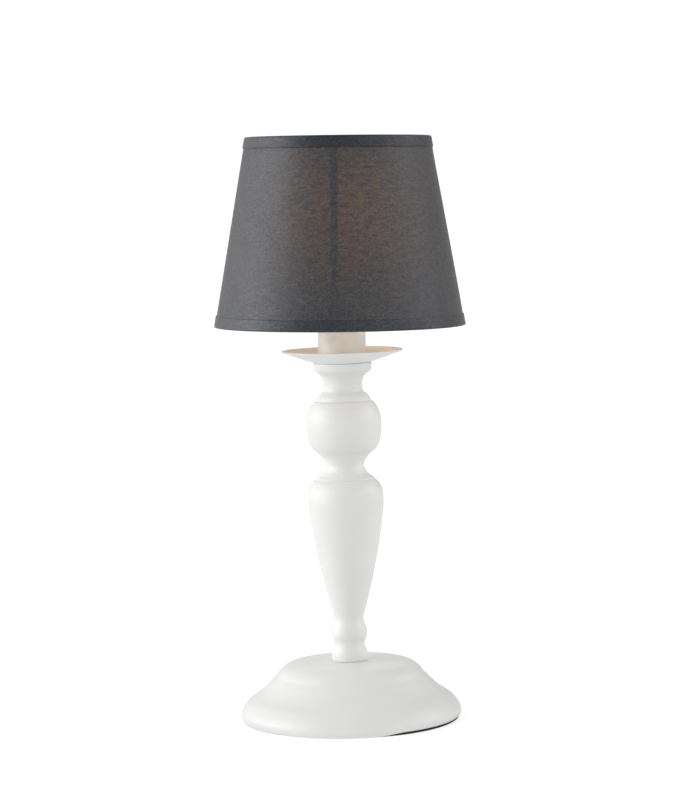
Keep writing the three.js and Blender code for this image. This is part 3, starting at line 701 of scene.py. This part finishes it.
def pad_shadow_line(th):
    """1 where the black pad shows under the shell as a dark line, at the front right, and 0 where the shell's edge
    hides it. That dark line stands in for the shade under the base's edge there: painted shade.
    """
    f = np.degrees(np.mod(th + 1.5 * np.pi, TAU) - np.pi)  # 0 at the front, positive to the right
    a, c = np.clip((f - 12.0) / 18.0, 0, 1), np.clip((f - 95.0) / 45.0, 0, 1)
    return a * a * (3 - 2 * a) * (1 - c * c * (3 - 2 * c))


# painted shade: the shell's lower edge is raised at the front right to bare the black pad as a dark line, and comes
# down 0.9 mm elsewhere
def settle(th, r, z):
    return r, z + (1.9 * pad_shadow_line(th) - 0.9) * np.clip((7.5 - z) / 5.0, 0, 1) * (r > 78.0)


def pad_shape(th, r, z):
    g = 1.9 * pad_shadow_line(th) - 0.9
    lift = np.where(g > 0, g * np.clip(z / 0.9, 0, 1), g * np.clip(z / 1.8, 0, 1)) * np.clip((r - 62.0) / 16.0, 0, 1)
    return np.where(r > 84.6, 84.6 + (r - 84.6) * pad_shadow_line(th), r), z + lift


b = Build()
b.lathe(outline(base_out, 1.5)[:-1], 240, shape=settle)
base = b.object("base_shell_spun", "lamp", [white_paint], ("base_shell",), slot="white_paint")
# the cord inlet, cut through the rolled edge at the back
cut = Build()
cut.lathe([(0.0, 0.0), (4.2, 0.0), (4.2, 24.0), (0.0, 24.0)], 48)
cm = bpy.data.meshes.new("inlet_cutter")
cv = np.array(cut.v) * MM
cm.from_pydata([(x, 0.074 + z, 0.0074 - y) for x, y, z in cv], [], cut.f)
cutter = bpy.data.objects.new("inlet_cutter", cm)
scene.collection.objects.link(cutter)
mod = base.modifiers.new("inlet", "BOOLEAN")
mod.operation = "DIFFERENCE"
mod.object = cutter
mod.solver = "EXACT"
bpy.context.view_layer.update()
dg = bpy.context.evaluated_depsgraph_get()
cut_mesh = bpy.data.meshes.new_from_object(base.evaluated_get(dg))
base.modifiers.clear()
base.data = cut_mesh
base.data.materials.clear()
base.data.materials.append(white_paint)
bpy.data.objects.remove(cutter)

b = Build()
pad_pts = [
    (0, 0.0), (82.0, 0.0), (85.1, 0.03), (85.75, 0.2), (85.95, 0.5), (85.85, 0.8), (85.5, 0.9), (84.9, 0.93, 1), (84.55, 1.2),
    (84.5, 1.7), (84.2, 1.8), (78.0, 1.8, 1), (0, 1.8),
]
b.lathe(outline(pad_pts, 0.8), 240, shape=pad_shape)
b.object("base_pad_foam", "lamp", [pad_foam], ("base_pad",), slot="pad_foam")

bush_pts = outline(
    [
        (3.15, 0.3), (3.3, 0.0), (3.5, 0.0), (3.85, 0.9), (3.85, 7.3, 1), (4.7, 7.3, 1), (4.9, 7.6), (4.9, 8.2),
        (4.55, 8.65), (4.0, 8.8), (3.5, 8.75), (3.2, 8.4), (3.15, 7.8),
    ],
    0.3,
)
b = Build()
b.lathe(bush_pts, 48)
v = np.array(b.v)
b.v = np.stack([v[:, 0], 80.95 + v[:, 2], 7.4 - v[:, 1]], 1).tolist()
b.object("cord_bush_moulded", "lamp", [black_plastic], ("cord_bush",), slot="black_plastic")

# ------------------------------------------------------------------ turned stem
RH = 5.4
lower = [
    (RH, 46.8, 1), (13.1, 46.8), (13.6, 46.9), (14.0, 47.4), (14.2, 48.3), (14.2, 50.5), (14.05, 53.4), (13.4, 55.4),
    (12.5, 57.3), (12.1, 59.8), (12.25, 62.3), (13.0, 64.0), (13.8, 65.7), (14.3, 68.2), (14.1, 71.2), (13.5, 73.5),
    (12.6, 75.4), (11.9, 78.0), (11.7, 80.8), (12.0, 83.2), (13.35, 88.1), (15.2, 94.5), (17.35, 102.6), (21.1, 118.7),
    (24.45, 134.7), (27.3, 150.8), (29.2, 164.5), (30.0, 171.6), (30.15, 175.4), (29.9, 180.4), (29.3, 184.0),
    (28.5, 186.3), (27.5, 188.0), (26.5, 189.6), (25.7, 190.6), (24.9, 191.3), (24.1, 191.95), (23.3, 192.4, 1), (RH, 192.4, 1), (RH, 188.6, 1), (22.0, 188.6), (26.6, 183.5),
    (27.9, 174.4), (25.2, 150.8), (18.9, 118.7), (9.6, 84.0), (9.4, 78.0), (11.4, 69.0), (9.8, 60.0), (11.6, 49.2, 1),
    (RH, 49.2, 1), (RH, 46.8, 1),
]
middle = [
    (RH, 192.44, 1), (23.25, 192.44, 1), (23.1, 192.9), (22.75, 193.5), (21.95, 194.2), (20.9, 194.8), (19.7, 195.6), (18.6, 196.7), (17.0, 198.4), (15.7, 200.9),
    (15.25, 203.6), (15.6, 205.4), (16.6, 207.7), (18.3, 210.1), (20.5, 212.9), (21.7, 214.0), (23.4, 215.0),
    (25.2, 216.6), (27.1, 219.7), (28.5, 223.3), (29.5, 229.2), (29.87, 235.5), (29.5, 241.9), (28.6, 245.1),
    (27.4, 248.4), (26.1, 251.0), (25.2, 252.4), (24.3, 253.6), (23.5, 254.3), (22.7, 254.75), (21.9, 254.9, 1), (RH, 254.9, 1), (RH, 251.2, 1), (22.0, 251.2),
    (26.6, 244.0), (27.6, 235.5), (26.4, 225.0), (22.8, 217.6), (17.4, 212.4), (13.1, 204.5), (14.6, 198.6),
    (17.0, 194.9, 1), (RH, 194.9, 1), (RH, 192.44, 1),
]
upper = [
    (RH, 254.94, 1), (21.85, 254.94, 1), (21.65, 255.3), (21.5, 256.2), (21.15, 257.2), (20.5, 258.4), (19.5, 259.7), (18.1, 260.9), (16.8, 261.7), (15.9, 262.7), (15.5, 264.2), (15.35, 266.4),
    (15.4, 268.4), (15.8, 270.6), (16.6, 273.2), (18.2, 275.4), (20.4, 277.3), (22.2, 278.7), (22.9, 279.9),
    (23.05, 281.7), (23.05, 284.4), (22.75, 285.1), (22.0, 285.3), (RH, 285.3, 1), (RH, 282.9, 1), (20.7, 282.9),
    (20.2, 280.2), (15.4, 275.8), (13.5, 268.5), (15.2, 261.0), (18.4, 257.3, 1), (RH, 257.3, 1), (RH, 254.94, 1),
]
for name, pts, node in (
    ("stem_lower_turned", lower, "stem_lower"),
    ("stem_middle_turned", middle, "stem_middle"),
    ("stem_upper_turned", upper, "stem_upper"),
):
    b = Build()
    b.lathe(outline(pts, 0.9)[:-1], 144)
    b.object(name, "lamp", [white_paint], (node,), slot="white_paint")

pan = [
    (RH, 285.34, 1), (21.9, 285.34), (23.4, 285.65), (26.5, 286.65), (31.8, 288.4), (41.2, 291.6), (45.6, 293.1), (47.5, 293.7),
    (48.15, 294.2), (48.3, 294.7), (47.9, 295.2), (47.3, 295.3), (46.7, 295.0), (45.0, 294.1), (40.8, 292.7), (31.4, 289.5),
    (26.2, 287.8), (23.2, 286.9), (21.6, 286.6), (RH, 286.6, 1), (RH, 285.34, 1),
]
b = Build()
b.lathe(outline(pan, 0.8)[:-1], 192)
b.object("drip_pan_spun", "lamp", [pan_paint_painted_light], ("drip_pan",), slot="white_paint")

# ------------------------------------------------------------------ sleeve and lampholder
b = Build()
b.lathe(
    outline(
        [(17.5, 287.3), (17.7, 286.95), (18.25, 286.9), (18.8, 286.95), (19.0, 287.3), (19.0, 310.0), (19.0, 332.6),
         (18.8, 332.95), (18.25, 333.0), (17.7, 332.95), (17.5, 332.6), (17.5, 310.0), (17.5, 287.3)], 2.0
    )[:-1],
    144,
)
b.object("candle_sleeve_tube", "lamp", [sleeve_plastic], ("candle_sleeve",), slot="sleeve_plastic")


def thread(r_low, r_high, z_low, z_high, pitch, depth, sign=1, run=1.2):
    """Adds a right-hand rolled thread of that depth to what lies between two radii and heights."""

    def f(th, r, z):
        ph = TAU * (z / pitch - th / TAU)
        wave = 0.5 + 0.5 * np.cos(ph)
        fade = np.clip((z - z_low) / run, 0, 1) * np.clip((z_high - z) / run, 0, 1)
        mask = ((r >= r_low) & (r <= r_high)).astype(float)
        return r - sign * depth * wave * fade * mask, z

    return f


def column(r, z0, z1, n):
    return [(r, z0 + (z1 - z0) * i / n) for i in range(n + 1)]


hb = (
    [(15.4, 311.3), (16.8, 311.3), (17.0, 311.5)]
    + [(17.0, 333.3), (21.7, 333.3), (22.0, 333.5), (22.0, 334.8), (21.8, 335.0), (19.6, 335.0)]
    + column(19.5, 335.4, 349.2, 84)
    + [(18.7, 350.0), (14.6, 350.0), (14.1, 349.7), (14.0, 349.4), (14.0, 348.4), (15.4, 347.6)]
)
b = Build()
b.lathe(hb, 96, shape=thread(19.45, 19.55, 335.2, 349.4, 2.6, 0.75))
b.object("holder_body_moulded", "lamp", [black_plastic], ("holder_body",), slot="black_plastic", sharp=40)

PITCH = 3.62
shell_pts = (
    [(11.2, 321.9), (14.1, 321.9), (14.3, 322.1)]
    + column(14.25, 322.6, 346.9, 84)
    + [(14.1, 347.3), (13.8, 347.3)]
    + column(13.75, 346.9, 323.0, 84)
    + [(13.5, 322.5), (11.2, 322.5)]
)
b = Build()
b.lathe(shell_pts, 96, shape=thread(13.7, 14.26, 323.0, 347.0, PITCH, 0.42))
b.object("screw_shell_rolled", "lamp", [brass], ("screw_shell",), slot="brass", sharp=50)

cap_pts = (
    [(12.3, 328.4), (12.7, 328.3), (13.0, 328.6)]
    + column(13.1, 329.2, 351.0, 84)
    + [(12.9, 351.4), (12.5, 351.4)]
    + [(12.35, 351.0), (12.25, 340.0), (12.25, 329.0)]
)
b = Build()
b.lathe(cap_pts, 96, shape=thread(13.05, 13.15, 329.2, 349.8, PITCH, 0.55))
b.object("bulb_cap_rolled", "bulb", [bulb_alloy], ("bulb_cap",), slot="bulb_alloy", sharp=50)


def ribs(th, r, z):
    p = np.abs(((th * 32 / TAU) % 1.0) - 0.5) * 2.0
    notch = np.clip((p - 0.62) / 0.38, 0, 1)
    notch = notch * notch * (3 - 2 * notch)
    mask = np.clip((r - 23.3) / 0.6, 0, 1)
    fade = np.clip((z - 337.6) / 1.0, 0, 1)
    return r - 0.75 * notch * mask * fade, z


nut_pts = outline(
    [
        (19.9, 337.5, 1), (20.3, 337.1, 1), (24.2, 337.1), (24.5, 337.3), (24.6, 337.7), (24.6, 338.6), (24.55, 341.0), (24.5, 343.6),
        (24.35, 344.5), (23.9, 344.95), (23.2, 345.1), (22.4, 345.0), (21.9, 344.7), (21.4, 344.6, 1), (20.3, 344.6, 1),
        (19.9, 344.2, 1), (19.9, 337.5, 1),
    ],
    0.5,
)[:-1]
b = Build()
b.lathe(nut_pts, 384, shape=ribs)
b.object("ring_nut_ribbed", "ring_nut", [black_plastic], ("ring_nut",), slot="black_plastic", sharp=38)

# ------------------------------------------------------------------ shade
Z0, Z1, R0, R1 = 314.9, 463.4, 100.0, 73.5
SLOPE = (R0 - R1) / (Z1 - Z0)


def shade_r(z):
    return R0 - (z - Z0) * SLOPE


S_FLAT = SLOPE / math.hypot(1.0, SLOPE)  # sine of the half angle of the cone

# the shade sits a little askew on its fitter ring, as in the photograph: turned clockwise, seen from the front
LEAN, LEAN_X, LEAN_Z = math.radians(0.82), -0.8, 336.0


def lean(b, start=0):
    """Leans the points of a piece from number start on. The fitter ring stays flat, and the arms take up the lean."""
    v = np.array(b.v[start:], float)
    r = np.hypot(v[:, 0], v[:, 1])
    w = np.clip((r - 26.0) / 40.0, 0, 1)
    w = w * w * (3 - 2 * w)
    up = (v[:, 2] - 389.0) / 74.0
    v[:, :2] *= (1 + 0.0025 * w * (up + 0.4))[:, None]
    v[:, 2] += 0.5 * w * up
    x, z = v[:, 0].copy(), v[:, 2] - LEAN_Z
    v[:, 0] = x + w * (x * (math.cos(LEAN) - 1) + z * math.sin(LEAN) + LEAN_X)
    v[:, 2] = LEAN_Z + z + w * (z * (math.cos(LEAN) - 1) - x * math.sin(LEAN))
    b.v[start:] = v.tolist()


def on_flat(theta, r, z):
    """Where a point of the cone lies on the flat cut, in metres: X right, Y up, both 0 at the front centre."""
    phi = theta - 1.5 * math.pi
    d = r / S_FLAT
    d0 = 86.0 / S_FLAT
    return (d * math.sin(phi * S_FLAT) * MM, (d0 - d * math.cos(phi * S_FLAT)) * MM)


back = 0.5 * math.pi


def seam_angles(n, extra):
    """Angles from the back all the way round to the back, with more near the steps given in extra."""
    th = list(np.linspace(back, back + TAU, n + 1))
    for e in extra:
        th += [e - 0.0016, e - 0.0006, e + 0.0006, e + 0.0016]
    return np.array(sorted(set(round(t, 7) for t in th)))


lap_w = 6.2 / 86.0  # the cloth's own lap at the back, as an angle
front_a = 1.5 * math.pi + math.radians(STRIP_DEG)
half_strip = STRIP_W / MM / 2 / 86.0
rng = np.random.default_rng(7)
ph = rng.uniform(0, TAU, 12)


def cover_shape(th, r, z):
    out = r - (shade_r(z) - 1.15) > 0
    # soft unevenness of a hand-covered shade
    w = (
        0.10 * np.sin(2 * th + ph[0]) * np.sin(z / 61.0 + ph[1])
        + 0.07 * np.sin(5 * th + ph[2]) * np.sin(z / 37.0 + ph[3])
        + 0.04 * np.sin(11 * th + ph[4] + z / 50.0)
    )
    edge = np.clip(np.minimum(z - 325.0, 453.0 - z) / 10.0, 0, 1)
    r = r + w * edge
    # lap of the cloth at the back
    lap = np.clip((back + lap_w - th) / 0.0012 + 0.5, 0, 1) + np.clip((th - (back + TAU - 0.004)) / 0.0012 + 0.5, 0, 1)
    r = r + np.where(out, 0.22 * np.clip(lap, 0, 1), 0.0)
    # lap of the liner, inside, near the front
    d = np.abs(th - front_a)
    strip = np.clip((half_strip - d) / 0.0012 + 0.5, 0, 1)
    r = r - np.where(out, 0.0, 0.28 * strip)
    return r, z


CZ0, CZ1 = 315.7, 462.6
n_gen = 28
outer_run = [(shade_r(CZ0 + (CZ1 - CZ0) * i / n_gen) - 0.8, CZ0 + (CZ1 - CZ0) * i / n_gen) for i in range(n_gen + 1)]
inner_run = [(shade_r(z) - 1.5, z) for _, z in outer_run[::-1]]
pts = outer_run + inner_run
mats = [0] * n_gen + [1] * (n_gen + 2)
th = seam_angles(300, [front_a - half_strip, front_a + half_strip, back + lap_w])
b = Build()
b.lathe(pts, thetas=th, mats=mats, shape=cover_shape, flat=on_flat)
lean(b)
cover = b.object("shade_cover_cloth", "shade", [shade_cloth, shade_liner], ("shade_cover",), slot="shade_fabric", sharp=50)


def weld_loop(ob):
    """Joins the first and last column of a piece that was turned from the back round to the back."""
    import bmesh

    bm = bmesh.new()
    bm.from_mesh(ob.data)
    bmesh.ops.remove_doubles(bm, verts=bm.verts, dist=2e-6)
    bm.to_mesh(ob.data)
    bm.free()
    ob.data.set_sharp_from_angle(angle=math.radians(50))


weld_loop(cover)

# trims: one folded strip of the same cloth over each edge
TOP_R, TOP_RZ = 70.77, 461.3
BOT_R, BOT_RZ = 96.23, 317.0


def trim_shape(z_edge, sign):
    def f(th, r, z):
        wav = 0.12 * np.sin(7 * th + ph[5]) + 0.08 * np.sin(17 * th + ph[6]) + 0.05 * np.sin(41 * th + ph[7])
        near = np.clip(1 - np.abs(z - z_edge) / 2.5, 0, 1)
        z = z + sign * wav * near
        puff = 0.035 * np.sin(23 * th + ph[8] + z) + 0.03 * np.sin(53 * th + ph[9] - z * 0.7)
        lap = np.clip((back + 0.085 - th) / 0.0014 + 0.5, 0, 1) + np.clip((th - (back + TAU - 0.004)) / 0.0014 + 0.5, 0, 1)
        mid = shade_r(z) - 2.0
        r = r + np.where(r > mid, 1.0, -1.0) * (puff * 0.6 + 0.2 * lap)
        return r, z

    return f


def trim_flat(z_ref, r_ref):
    def f(theta, r, z):
        phi = theta - 1.5 * math.pi
        side = 0.03 if r < r_ref - 2.5 else 0.0
        return (phi * r_ref * MM, ((z - z_ref) if side == 0.0 else (z_ref - z)) * MM + side)

    return f


tz = Z1 - 9.0
top_trim = [
    # outer face, from its lower edge up
    (shade_r(tz) - 0.42, tz + 0.04), (shade_r(tz) - 0.25, tz - 0.04), (shade_r(tz) - 0.05, tz + 0.12), (shade_r(tz + 0.8), tz + 0.8),
    (shade_r(tz + 3), tz + 3), (shade_r(tz + 6), tz + 6), (shade_r(Z1 - 1.4) + 0.0, Z1 - 1.4), (shade_r(Z1 - 0.7) - 0.12, Z1 - 0.7),
    (shade_r(Z1 - 0.3) - 0.45, Z1 - 0.27), (shade_r(Z1) - 1.05, Z1 - 0.04), (72.0, Z1), (70.9, Z1), (69.9, Z1 - 0.12),
    (69.1, Z1 - 0.6), (68.72, Z1 - 1.4), (68.7, TOP_RZ - 0.4), (68.85, TOP_RZ - 1.4), (69.6, TOP_RZ - 2.9), (shade_r(TOP_RZ - 4.2) - 2.3, TOP_RZ - 4.2),
    (shade_r(tz + 1.6) - 2.3, tz + 1.6), (shade_r(tz + 0.6) - 2.28, tz + 0.7), (shade_r(tz + 0.6) - 2.0, tz + 0.55), (shade_r(tz + 0.6) - 1.82, tz + 0.7),
    (shade_r(tz + 2) - 1.8, tz + 2.0), (shade_r(TOP_RZ - 3.9) - 1.8, TOP_RZ - 3.9), (69.8, TOP_RZ - 2.2), (69.22, TOP_RZ - 1.0), (69.15, TOP_RZ + 0.2),
    (69.5, Z1 - 0.95), (70.2, Z1 - 0.6), (71.3, Z1 - 0.5), (72.2, Z1 - 0.52), (72.75, Z1 - 0.8), (shade_r(Z1 - 1.5) - 0.5, Z1 - 1.5),
    (shade_r(tz + 6) - 0.5, tz + 6), (shade_r(tz + 3) - 0.5, tz + 3), (shade_r(tz + 0.6) - 0.5, tz + 0.5), (shade_r(tz) - 0.42, tz + 0.04),
]
bz = Z0 + 9.0
bottom_trim = [
    (shade_r(bz) - 0.42, bz - 0.04), (shade_r(bz) - 0.45, bz - 0.6), (shade_r(bz - 3) - 0.5, bz - 3), (shade_r(bz - 6) - 0.5, bz - 6),
    (shade_r(Z0 + 1.3) - 0.5, Z0 + 1.3), (99.2, Z0 + 0.72), (98.7, Z0 + 0.5), (97.6, Z0 + 0.46), (96.2, Z0 + 0.5), (95.1, Z0 + 0.95),
    (94.66, Z0 + 1.7), (94.62, BOT_RZ + 0.2), (94.6, BOT_RZ + 1.3), (94.35, BOT_RZ + 1.55), (94.12, BOT_RZ + 1.3), (94.1, BOT_RZ + 0.2),
    (94.15, Z0 + 1.5), (94.6, Z0 + 0.6), (95.5, Z0 + 0.12), (96.6, Z0), (98.0, Z0), (99.0, Z0 + 0.04), (99.55, Z0 + 0.25), (99.82, Z0 + 0.65),
    (shade_r(Z0 + 1.4), Z0 + 1.4), (shade_r(bz - 6), bz - 6), (shade_r(bz - 3), bz - 3), (shade_r(bz - 0.8), bz - 0.8),
    (shade_r(bz) - 0.05, bz - 0.12), (shade_r(bz) - 0.25, bz + 0.04), (shade_r(bz) - 0.42, bz - 0.04),
]
trim_th = seam_angles(280, [back + 0.085])
b = Build()
b.lathe(outline(top_trim, 0.55)[:-1], thetas=trim_th, shape=trim_shape(tz, 1.0), flat=trim_flat(Z1, 73.5))
lean(b)
top = b.object("top_trim_folded", "shade", [trim_cloth_top_shaded], ("top_trim",), slot="trim_fabric", sharp=60)
weld_loop(top)
b = Build()
b.lathe(outline(bottom_trim, 0.55)[:-1], thetas=trim_th, shape=trim_shape(bz, 1.0), flat=trim_flat(Z0, 100.0))
lean(b)
bottom = b.object("bottom_trim_folded", "shade", [trim_cloth], ("bottom_trim",), slot="trim_fabric", sharp=60)
weld_loop(bottom)


def ring_path(R, z, n):
    return [(R * math.cos(TAU * i / n), R * math.sin(TAU * i / n), z) for i in range(n)]


b = Build()
b.tube(ring_path(TOP_R, TOP_RZ, 180), 1.3, 14, closed=True)
lean(b)
b.object("top_ring_wire", "shade", [wire_paint], ("top_ring",), slot="white_wire")

b = Build()
b.tube(ring_path(BOT_R, BOT_RZ, 200), 1.3, 14, closed=True)
fit_z = 335.3
b.lathe(
    outline(
        [(20.2, fit_z + 0.35), (20.35, fit_z + 0.05), (20.7, fit_z), (23.5, fit_z), (23.85, fit_z + 0.05), (24.0, fit_z + 0.35),
         (24.0, fit_z + 1.15), (23.85, fit_z + 1.45), (23.5, fit_z + 1.5), (20.7, fit_z + 1.5), (20.35, fit_z + 1.45),
         (20.2, fit_z + 1.15), (20.2, fit_z + 0.35)], 0.4
    )[:-1],
    120,
)
for deg in (90, 210, 330):
    a = math.radians(deg)
    raw = [(21.9, fit_z + 0.4), (26.0, fit_z + 0.38), (32.0, fit_z + 0.1), (40.0, fit_z - 1.6), (55.0, 330.3), (70.0, 326.0), (84.0, 321.2), (96.0, 317.3)]
    path = [(r * math.cos(a), r * math.sin(a), z) for r, z in smooth_run(raw, 2.0)]
    b.tube(path, 1.3, 12)
    # weld beads where the arm meets the two rings
    for rr, zz, w in ((BOT_R - 0.9, BOT_RZ + 0.35, 1.75), (24.0, fit_z + 0.45, 1.55)):
        bead = [(0.0, -w * 0.75)] + [(w * math.cos(t) * 0.98, w * 0.75 * math.sin(t)) for t in np.linspace(-1.35, 1.35, 9)] + [(0.0, w * 0.75)]
        c = Build()
        c.lathe(bead, 16)
        cvv = np.array(c.v)
        cvv[:, 0] *= 1.25
        rot = np.array([[math.cos(a), -math.sin(a), 0], [math.sin(a), math.cos(a), 0], [0, 0, 1]])
        cvv = cvv @ rot.T + np.array([rr * math.cos(a), rr * math.sin(a), zz])
        k0 = len(b.v)
        b.v += cvv.tolist()
        b.f += [tuple(i + k0 for i in f) for f in c.f]
        b.uv += c.uv
        b.m += c.m
lean(b)
b.object("shade_frame_wire", "shade", [wire_paint], ("shade_frame",), slot="white_wire")

# ------------------------------------------------------------------ bulb
glass_out = [
    (12.2, 351.8), (12.7, 351.9), (13.0, 354.5), (14.8, 361.0), (16.7, 368.5), (17.5, 377.0), (17.0, 386.0), (15.3, 396.5),
    (12.6, 407.0), (9.2, 416.5), (5.6, 423.5), (2.6, 427.2), (0.0, 428.5),
]
outer_g = outline(glass_out, 1.2)
inner_g = [(max(r - 0.9, 0.0), min(z, 427.5)) for r, z in outer_g if z < 426.0][::-1]
b = Build()
b.lathe([(0.0, 427.6)] + inner_g + outer_g, 96)
glass = b.object("bulb_glass_opal", "bulb", [opal], ("bulb_glass",), slot="opal_glass")

# ------------------------------------------------------------------ carried-over nodes
finish = {
    "base_weight": iron, "base_washer": zinc, "earth_tag": brass, "base_nut": zinc, "lamp_tube": zinc, "pan_washer": zinc,
    "pan_nut": zinc, "holder_cap": black_plastic, "holder_set_screw": zinc, "contact_carrier": steatite,
    "terminal_screw_live": zinc, "terminal_screw_neutral": zinc, "centre_contact": brass, "bulb_insulator": bead_glass,
    "bulb_contact": zinc, "bulb_mount": clear_glass, "bulb_filament": tungsten,
}
for name, m in finish.items():
    ob = nodes[name]
    if not ob.material_slots:
        ob.data.materials.append(m)
    for s in ob.material_slots:
        s.material = m


# ------------------------------------------------------------------ stage and light
def direction(az, el):
    """A unit vector: azimuth from the camera's side, positive to the right, and height above the horizon, in degrees."""
    a, e = math.radians(az), math.radians(el)
    return (math.sin(a) * math.cos(e), -math.cos(a) * math.cos(e), math.sin(e))


def stage_floor():
    """The table that the camera sees: pale, and a little darker where the lamp keeps the light off it."""
    k = Nodes("studio_floor")
    o = k.coords()
    g = k.noise(o, 6.0, 3.0, 0.5)
    col = k.mix(g, (0.48, 0.48, 0.48), (0.50, 0.50, 0.50))
    return k.end(k.principled(col, 0.9, 0.0, None, Emission_Color=(1.0, 1.0, 1.0), Emission_Strength=0.66, Specular_IOR_Level=0.1))


def bounce_floor():
    """What the lamp sees of the lit table: pale and not as bright as the table looks to the camera, with a painted
    shadow beside the lamp, where its light is turned down left and right close to the base.
    """
    k = Nodes("studio_floor_bounce")
    o = k.coords()
    g = k.noise(o, 2.0, 3.0, 0.5)
    col = k.mix(g, (0.05, 0.05, 0.05), (0.06, 0.06, 0.06))
    x, y, _ = k.split(o)
    # painted shadow: the floor's light is weaker left and right of the lamp, near its base
    side = k.ramp(k.math("ABSOLUTE", x), 0.04, 0.08)
    near = k.ramp(k.math("SQRT", k.math("ADD", k.math("MULTIPLY", x, x), k.math("MULTIPLY", y, y))), 0.11, 0.19, 1.0, 0.0)
    light_with_painted_shadow = k.math("SUBTRACT", 0.70, k.math("MULTIPLY", k.math("MULTIPLY", side, near), 0.18))
    return k.end(k.principled(col, 0.9, 0.0, None, Emission_Color=(1.0, 1.0, 1.0), Emission_Strength=light_with_painted_shadow))


def floor_plane(name, z, material):
    me = bpy.data.meshes.new(name)
    s, n = 40.0, 8
    gx = np.linspace(-s, s, n + 1)
    verts = [(float(x), float(y), z) for y in gx for x in gx]
    faces = [
        (j * (n + 1) + i, j * (n + 1) + i + 1, (j + 1) * (n + 1) + i + 1, (j + 1) * (n + 1) + i)
        for j in range(n)
        for i in range(n)
    ]
    me.from_pydata(verts, [], faces)
    me.materials.append(material)
    ob = bpy.data.objects.new(name, me)
    scene.collection.objects.link(ob)
    return ob


# one floor for the camera, and one just under it that lights the lamp from below
floor = floor_plane("floor", 0.0, stage_floor())
floor.visible_diffuse = False
floor.visible_glossy = False
floor.visible_transmission = False
floor.visible_shadow = False
under = floor_plane("floor_bounce", -0.0004, bounce_floor())
under.visible_camera = False

world = bpy.data.worlds.new("studio")
scene.world = world
world.use_nodes = True
wt = world.node_tree
wt.nodes.clear()
wo = wt.nodes.new("ShaderNodeOutputWorld")
bg = wt.nodes.new("ShaderNodeBackground")
bg_cam = wt.nodes.new("ShaderNodeBackground")
mixw = wt.nodes.new("ShaderNodeMixShader")
lp = wt.nodes.new("ShaderNodeLightPath")
tc = wt.nodes.new("ShaderNodeTexCoord")


def wmath(op, *values):
    n = wt.nodes.new("ShaderNodeMath")
    n.operation = op
    for i, v in enumerate(values):
        if isinstance(v, bpy.types.NodeSocket):
            wt.links.new(v, n.inputs[i])
        else:
            n.inputs[i].default_value = v
    return n.outputs[0]


# a pale room with tall soft lights to the left and the right, some light from above, and less from behind
ROOM_BASE = 0.468
ROOM_LOBES = [
    # azimuth, height, sharpness, strength
    (160, 2, 60, -0.2), (-135, 4, 40, 0.6), (-115, 4, 40, 1.6), (-95, 4, 40, 3.9), (-75, 4, 40, 3.32), (-55, 4, 40, 1.04), (-35, 4, 40, 0.4),
    (-12, 4, 40, 0.6), (12, 4, 40, 1.32), (35, 4, 40, 1.2), (95, 4, 40, 1.2), (180, 4, 40, 0.21),
    (-100, 26, 28, 1.2), (-75, 26, 28, 2.8), (45, 26, 28, 0.7), (75, 26, 28, 1.3), (100, 26, 28, 2.2), (180, 26, 28, 0.56), (-138, 25, 30, 0.7),
    (-90, 55, 12, 0.44), (90, 55, 12, 0.05),
    # the dark side of the room, behind the camera
    (5, 20, 10, -0.13),
]
level = ROOM_BASE
for az, el, sharp, power in ROOM_LOBES:
    dot = wt.nodes.new("ShaderNodeVectorMath")
    dot.operation = "DOT_PRODUCT"
    wt.links.new(tc.outputs["Generated"], dot.inputs[0])
    dot.inputs[1].default_value = direction(az, el)
    lobe = wmath("POWER", wmath("MAXIMUM", dot.outputs["Value"], 0.0), float(sharp))
    level = wmath("MULTIPLY_ADD", lobe, power, level)
wt.links.new(level, bg.inputs["Strength"])
bg.inputs["Color"].default_value = (1.0, 1.0, 1.0, 1.0)
bg_cam.inputs["Color"].default_value = (1.0, 1.0, 1.0, 1.0)
bg_cam.inputs["Strength"].default_value = 1.05
wt.links.new(lp.outputs["Is Camera Ray"], mixw.inputs[0])
wt.links.new(bg.outputs[0], mixw.inputs[1])
wt.links.new(bg_cam.outputs[0], mixw.inputs[2])
wt.links.new(mixw.outputs[0], wo.inputs["Surface"])
